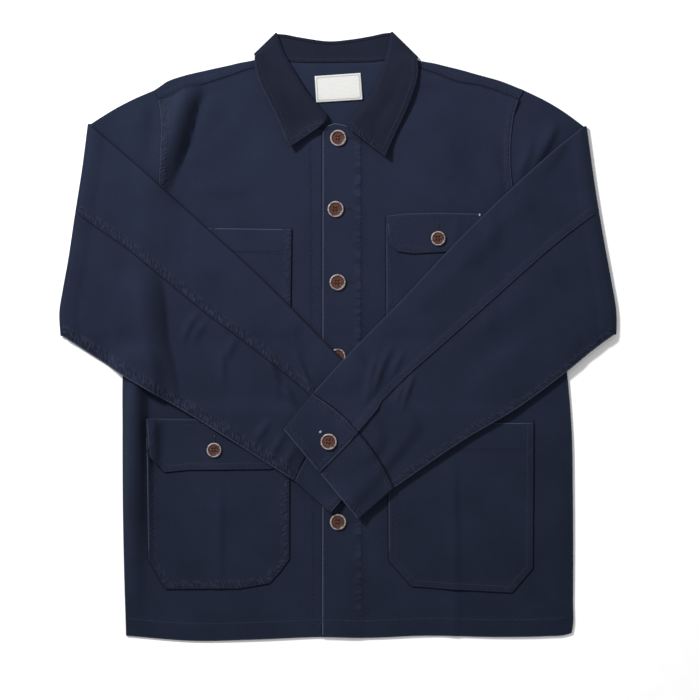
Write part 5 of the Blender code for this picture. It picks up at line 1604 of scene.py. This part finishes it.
for side in SIDES:
    turn = ENDS[side]
    for piece in ("top", "under"):
        out, turned, crossing = sleeves[piece, side]
        before = len(out) + len(turned)
        lying = slice(0, before)
        crosses = slice(before, None)
        if piece == "top":
            shown = crossing[:, len(ARM_SHARES) + 3:]
            arm = plan_of(out[0, :len(ARM_SHARES)])[::turn]
            joint = plan_of(crossing[:, -1])[::turn]
            top = plan_of(shown[:, 0])[::-turn]
            # The felled seam is painted a little darker on the right sleeve, a painted shade, and
            # paler on the left, wear and painted highlight; the right sleeve's top fold edge gets
            # a dark painted shade.
            pucker, pale, fold = (0.85, -0.1, -0.75) if side == "right" else (0.15, 0.1, 0.08)
            seams = [(joint, FELLED_ROWS, pucker, pale, crosses),
                     (top, NONE, 0.0, fold, crosses)]
            stitched.append((joint, FELLED_ROWS, shown))
        else:
            shown = crossing[:, :len(ARM_SHARES[ARM_SHARES > BACK_SEAM_SHARE]) + 4]
            arm = plan_of(out[0, :-5])[::-turn]
            joint = plan_of(crossing[:, 0])[::turn]
            low = plan_of(shown[:, -1])[::turn]
            # A painted shade along the under sleeve's edge at the felled seam, strongest on the
            # left where the slit opens.
            gap, pucker = (-0.15, 1.0) if side == "right" else (-0.9, 0.7)
            seams = [(joint, NONE, 0.2, gap, crosses),
                     (low, LOWER_ROWS[side], pucker, 0.2, crosses)]
            stitched.append((low, LOWER_ROWS[side], shown))
        # A painted shade along the armhole and under the cuff's edge.
        seams += [(arm, NONE, 0.2, -0.4, lying),
                  (plan_of(shown[-1]), NONE, 0.4, -0.6, crosses)]
        whole = np.concatenate([out, turned, crossing])
        add_cloth("sleeve_" + piece + "_" + side, [(supported(whole), seams)])
    across = np.linspace(0.0, 1.0, 40)
    joint = cuff_plan(side, 0.01, across, 0.0)[::turn]
    free = cuff_plan(side, 1.0, across, 0.0)[::-turn]
    grid = cuffs[side]
    # Over the top sleeve the left cuff's edge is pale, from wear and painted highlight, and over
    # the under sleeve dark with a painted shade.
    bend = int(np.argmin(np.abs(joint[:, 0] - CUFF_BEND)))
    tones = (0.1, 0.1) if side == "right" else (0.15, -0.5)[::1 if joint[0, 0] < CUFF_BEND
                                                            else -1]
    seams = [(line, CUFF_ROWS_IN, pucker, wear_and_painted_light) for line, pucker, wear_and_painted_light in (
        (joint[:bend + 1], 0.3, tones[0]), (joint[bend:], 0.3, tones[1]), (free, 0.4, 0.3),
        (tab_end(side, 0.0, 1.0), 0.3, 0.3))]
    add_cloth("cuff_" + side, [(supported(grid), seams)],
              wall=CUFF_WALL)

# ---------------------------------------------------------------- buttons
BUTTON_PATH = np.array([      # share of the radius, share of the height, from the middle
    (0.0, 0.62), (0.20, 0.62), (0.45, 0.62), (0.64, 0.63), (0.71, 0.67), (0.76, 0.82),
    (0.80, 0.96), (0.85, 1.0), (0.91, 0.95), (0.965, 0.82), (1.0, 0.60), (0.98, 0.34),
    (0.90, 0.12), (0.70, 0.02), (0.35, 0.0), (0.0, 0.0),
])
BUTTON_RINGS = 56
BUTTON_ANGLES = 72
HOLE_AWAY = 1.9          # of the four holes, from the middle along each axis
HOLE_RADIUS = 1.25
HOLE_DEPTH = 1.1


def tilted(points, seat_of):
    """Points round a button's foot moved to its seat and tilted with the cloth below."""
    x, y, _, height, slope_x, slope_y = seat_of
    z = height + points[..., 2] + slope_x * points[..., 0] + slope_y * points[..., 1]
    return np.stack([x + points[..., 0], y + points[..., 1], z], axis=-1)


def add_button(name, seat_of):
    """A button turned from a profile: a point is (radius x cos, radius x sin, height), and
    round each hole the face sinks by depth x (1 - (distance / hole radius) to the fourth)."""
    radius = seat_of[2] / 2
    profile = curve(BUTTON_PATH * (radius, BUTTON_HEIGHT), np.linspace(0.0, 1.0, BUTTON_RINGS))
    angle = np.linspace(0.0, 2 * math.pi, BUTTON_ANGLES + 1)
    r, h = profile[:, :1], profile[:, 1:]
    x, y = r * np.cos(angle), r * np.sin(angle)
    z = np.broadcast_to(h, x.shape).copy()
    face = (np.arange(BUTTON_RINGS) < BUTTON_RINGS * 0.45)[:, None]
    away = np.hypot(np.abs(x) - HOLE_AWAY, np.abs(y) - HOLE_AWAY)
    hole = np.clip(1 - (away / HOLE_RADIUS) ** 4, 0.0, 1.0) * face
    z -= HOLE_DEPTH * hole
    grid = tilted(np.stack([x, y, z], axis=-1), seat_of)
    mesh = new_mesh(name, grid.reshape(-1, 3), quads(*grid.shape[:2]), merge=True)
    placed = np.empty(len(mesh.vertices) * 3)
    mesh.vertices.foreach_get("co", placed)
    placed = (placed.reshape(-1, 3) - OFFSET) / MM - (seat_of[0], seat_of[1], 0.0)
    outer = np.hypot(placed[:, 0], placed[:, 1]) / radius
    away = np.hypot(np.abs(placed[:, 0]) - HOLE_AWAY, np.abs(placed[:, 1]) - HOLE_AWAY)
    # Mask of the holes, where painted shade goes.
    painted_hole_shade = np.clip(1.4 * (1 - away / HOLE_RADIUS), 0.0, 1.0)
    for attribute, values in (("outer", outer), ("painted_hole_shade", painted_hole_shade)):
        mesh.attributes.new(attribute, "FLOAT", "POINT").data.foreach_set("value", values)
    put(name + "_resin", mesh, MATERIALS["resin"], name)


for name, seat_of in button_seats.items():
    add_button(name, seat_of)

# ---------------------------------------------------------------- stitches
LIP_WIDTH = 1.5          # of the worked edge of a buttonhole
TACK_HALF = 1.9          # half the length of the bar at its end
WORKED_RADIUS = 0.36     # of the thicker thread of buttonholes and bartacks
FRONT_HOLE, FLAP_HOLE, CUFF_HOLE = (6.0, 15.0), (5.0, 13.0), (5.0, 9.0)    # start, length
CUFF_TACK = np.arange(14.6, 17.0, 0.5)           # from the left cuff's button
CHEST_TACK = (175.6, 149.8)
CHEST_TACK_RISES = np.arange(0.0, 2.6, 0.55)
STITCH_PITCH = 3.1
STITCH_LENGTH = 2.3
THREAD_RADIUS = 0.30     # drawn somewhat coarse, so that a row shows
STITCH_SIDES = 5
STITCH_RINGS = ((0.10, 0.65), (0.5, 1.0), (0.90, 0.65))     # share of length, of radius


def on_grid(grid, places, wall=WALL):
    """Point of a grid's upper face at each plan place, and the normal there: the nearest
    grid point, moved on along its tangent plane."""
    along = np.gradient(grid, axis=0)
    across = np.gradient(grid, axis=1)
    normal = unit(np.cross(across, along))
    normal = normal * np.sign(normal[..., 2:] + 1e-9)
    flat = grid.reshape(-1, 3)
    normal = normal.reshape(-1, 3)
    usable = normal[:, 2] > 0.5
    flat, normal = flat[usable], normal[usable]
    near = np.concatenate([
        ((part[:, None, :] - flat[None, :, :2]) ** 2).sum(axis=2).argmin(axis=1)
        for part in np.array_split(places, len(places) // 200 + 1)])
    base, up = flat[near], normal[near]
    z = base[:, 2] - ((places - base[:, :2]) * up[:, :2]).sum(axis=1) / up[:, 2]
    return np.column_stack([places, z + wall / 2 / up[:, 2]]), up


def bars_on(grid, starts, ends, wall=WALL):
    """Ends of bars laid on a grid between plan points, and the normals at their starts."""
    first, up = on_grid(grid, starts, wall)
    return first, on_grid(grid, ends, wall)[0], up


def bars(starts, ends, ups, radius, lift=0.0):
    """Points and faces of many short bars of thread: rings about the line from start to
    end, closed by a point at each end; the middle is lifted."""
    along = ends - starts
    side = unit(np.cross(along, ups))
    up = unit(np.cross(side, along))
    angle = 2 * math.pi * np.arange(STITCH_SIDES) / STITCH_SIDES
    round_it = (side[:, None] * np.cos(angle)[None, :, None]
                + up[:, None] * np.sin(angle)[None, :, None])
    rings = [starts[:, None]]
    for share, size in STITCH_RINGS:
        centre = starts + along * share + up * (lift * 4 * share * (1 - share))
        rings.append(centre[:, None] + round_it * (radius * size))
    rings.append(ends[:, None])
    points = np.concatenate(rings, axis=1)
    count = points.shape[1]
    one = np.arange(STITCH_SIDES)
    two = (one + 1) % STITCH_SIDES
    walls = [np.stack([1 + ring * STITCH_SIDES + one, 1 + ring * STITCH_SIDES + two,
                       1 + (ring + 1) * STITCH_SIDES + two, 1 + (ring + 1) * STITCH_SIDES + one],
                      axis=1) for ring in range(len(STITCH_RINGS) - 1)]
    last = 1 + (len(STITCH_RINGS) - 1) * STITCH_SIDES
    caps = np.concatenate([
        np.stack([np.zeros_like(one), two + 1, one + 1, one * 0], axis=1),
        np.stack([one * 0 + count - 1, last + one, last + two, one * 0 + count - 1], axis=1)])
    faces = np.concatenate(walls + [caps])
    faces = (faces[None] + np.arange(len(points))[:, None, None] * count).reshape(-1, 4)
    return points.reshape(-1, 3), faces


def inset_line(line, inset):
    """Line at a set distance inside another: its points moved along their left normals,
    without those that so come nearer to another part of it."""
    fine = bent(line, np.linspace(0.0, 1.0, max(int(length_of(line)), 2)))
    if not inset:
        return fine
    tangent = unit(np.gradient(fine, axis=0))
    moved = fine + np.stack([-tangent[:, 1], tangent[:, 0]], axis=1) * inset
    away = nearest(line, moved[:, 0], moved[:, 1])[1]
    return moved[away > inset - 0.12]


def stitch_row(line, inset, grid, wall=WALL):
    """Bars of one row of stitches: evenly pitched along the inset line."""
    path = inset_line(line, inset)
    length = length_of(path)
    first = np.arange(1.0, length - STITCH_LENGTH - 1.0, STITCH_PITCH)
    starts = bent(path, first / length)
    ends = bent(path, (first + STITCH_LENGTH) / length)
    short = np.linalg.norm(ends - starts, axis=1) < STITCH_LENGTH * 1.1
    return bars_on(grid, starts[short], ends[short], wall)


def add_bars(name, rows, material_name, radius=THREAD_RADIUS, lift=0.12):
    """One joined piece of many bars of thread."""
    starts, ends, ups = (np.concatenate(values) for values in zip(*rows))
    points, faces = bars(starts, ends, ups, radius, lift)
    mesh = bpy.data.meshes.new(name)
    corners = [face[:3] if face[0] == face[3] else face for face in faces.tolist()]
    mesh.from_pydata((points * MM + OFFSET).tolist(), [], corners)
    mesh.shade_smooth()
    return put(name, mesh, MATERIALS[material_name])


rows = [stitch_row(line, inset, grid) for line, insets, grid in stitched for inset in insets]
for side in SIDES:
    across = np.linspace(0.0, 1.0, 40)
    grid = cuffs[side]
    tab_grid = tab_of(grid)
    under_grid = grid[:, :round((1 - CUFF_UNDER_END) / CUFF_SPACING)]
    for down, turn in ((0.01, ENDS[side]), (1.0, -ENDS[side])):
        for shares, lies_on in ((across[across < TAB_SHARE], tab_grid),
                                (across[across > TAB_SHARE + 0.03], under_grid)):
            line = cuff_plan(side, down, shares, 0.0)[::turn]
            rows += [stitch_row(line, inset, lies_on, CUFF_WALL) for inset in CUFF_ROWS_IN]
    rows += [stitch_row(tab_end(side, 0.05, 0.95), inset, tab_grid, CUFF_WALL)
             for inset in CUFF_ROWS_IN]
half = len(rows) // 2
add_bars("stitches_body", rows[:half], "thread")
add_bars("stitches_sleeves", rows[half:], "thread")


def buttonhole(centre, direction, start, length, grid, wall=WALL):
    """Bars of a buttonhole worked beside a button: close bars across both lips of the slit,
    and a bar at its far end."""
    direction = unit(np.asarray(direction, float))
    aside = np.array([-direction[1], direction[0]])
    at = np.arange(start, start + length, 0.75)[:, None]
    made = []
    for lip in (-1.0, 1.0):
        inner = centre + direction * at + aside * lip * 0.25
        made.append(bars_on(grid, inner, inner + aside * lip * LIP_WIDTH, wall))
    tack = centre + direction * (start + length + np.arange(0.0, 1.6, 0.5))[:, None]
    return made + [bars_on(grid, tack - aside * TACK_HALF, tack + aside * TACK_HALF, wall)]


holes = []
for name, x, y, _ in BUTTONS:
    if name.startswith("front"):
        holes += buttonhole((x, y), (1.0, 0.02), *FRONT_HOLE, front_grid["left"])
    else:
        flap = patches["chest_flap_left" if name == "flap_button_chest" else "hip_flap_right"]
        holes += buttonhole((x, y), (0.02, 1.0), *FLAP_HOLE, flap)
tacks = []
for side in SIDES:
    place = cuff_button_place(side)
    tab_grid = tab_of(cuffs[side])
    up_across = unit(cuff_plan(side, 0.5, np.array([0.0]), 0.0)[0]
                     - cuff_plan(side, 0.5, np.array([1.0]), 0.0)[0])
    holes += buttonhole(place, up_across, *CUFF_HOLE, tab_grid, CUFF_WALL)
    if side == "left":
        aside = np.array([-up_across[1], up_across[0]])
        at = place + up_across * CUFF_TACK[:, None]
        tacks.append(bars_on(tab_grid, at - aside * TACK_HALF, at + aside * TACK_HALF,
                             CUFF_WALL))
at = np.array([(CHEST_TACK[0], CHEST_TACK[1] + rise) for rise in CHEST_TACK_RISES])
tacks.append(bars_on(patches["chest_flap_left"], at - (1.0, 0.0), at + (1.0, 0.0)))
for name, bars_of, its_thread in (("buttonholes", holes, "dark_thread"),
                                  ("bartacks", tacks, "white_thread")):
    add_bars(name, bars_of, its_thread, radius=WORKED_RADIUS, lift=0.2)

# Thread through the buttons' holes: two parallel bars on each.
loops = []
for seat_of in button_seats.values():
    for offset in (-HOLE_AWAY, HOLE_AWAY):
        for strand in (-0.3, 0.3):
            ends = np.array([(-HOLE_AWAY, offset + strand, 0.0),
                             (HOLE_AWAY, offset + strand, 0.0)])
            ends[:, 2] = BUTTON_HEIGHT * 0.68
            ends = tilted(ends, seat_of)
            loops.append((ends[:1], ends[1:], np.array([(0.0, 0.0, 1.0)])))
add_bars("button_thread", loops, "dark_thread", radius=0.32, lift=0.3)

# ---------------------------------------------------------------- table, light, camera
FLOOR_HALF = 6.0         # metres, as all sizes from here on
FLOOR_LEVEL = -0.0003
floor_mesh = bpy.data.meshes.new("table")
floor_mesh.from_pydata([(x * FLOOR_HALF, y * FLOOR_HALF, FLOOR_LEVEL)
                        for x, y in ((-1, -1), (1, -1), (1, 1), (-1, 1))], [], [(0, 1, 2, 3)])
floor = bpy.data.objects.new("table", floor_mesh)
bpy.context.scene.collection.objects.link(floor)
paper, tree = material("matt_white_paper", Roughness=0.9, Specular_IOR_Level=0.1)
fibres = add(tree, "TexNoise", {"Vector": add(tree, "TexCoord", (), "Object"), "Scale": 40.0,
                                "Detail": 3.0})
tone = add(tree, "Mix", {0: fibres, 6: colour("#f4f4f4"), 7: colour("#fafafa")}, 2,
           data_type="RGBA")
floor_mesh.materials.append(finished(paper, Base_Color=tone))

SKY_STRENGTH = 0.58
KEY_SIZE = 0.42
KEY_WATTS = 79.0
KEY_ASIDE = 1.35         # of the lamp, beside the jacket and as far beyond its collar
KEY_HEIGHT = 1.72
KEY_TURN = (47.9, 0.0, -135.0)   # degrees
scene = bpy.context.scene
world = bpy.data.worlds.new("studio")
world.use_nodes = True
sky = world.node_tree.nodes["Background"].inputs
sky["Color"].default_value = colour("#ffffff")
sky["Strength"].default_value = SKY_STRENGTH
scene.world = world
lamp = bpy.data.lights.new("key", "AREA")
lamp.shape = "DISK"
lamp.size = KEY_SIZE
lamp.energy = KEY_WATTS
key = bpy.data.objects.new("key", lamp)
key.location = (OFFSET[0] - KEY_ASIDE, OFFSET[1] + KEY_ASIDE, KEY_HEIGHT)
key.rotation_euler = [math.radians(turn) for turn in KEY_TURN]
scene.collection.objects.link(key)

CAMERA_HEIGHT = 2.5
VIEW_WIDTH = 0.8724
VIEW_CENTRE = (14.4 * MM, -17.2 * MM)
SENSOR = 36.0            # millimetres, as the lens
camera = bpy.data.objects.new("camera", bpy.data.cameras.new("camera"))
camera.data.sensor_width = SENSOR
camera.data.lens = SENSOR * CAMERA_HEIGHT / VIEW_WIDTH
camera.location = (OFFSET[0] + VIEW_CENTRE[0], OFFSET[1] + VIEW_CENTRE[1], CAMERA_HEIGHT)
scene.collection.objects.link(camera)
scene.camera = camera
scene.view_settings.view_transform = "Standard"
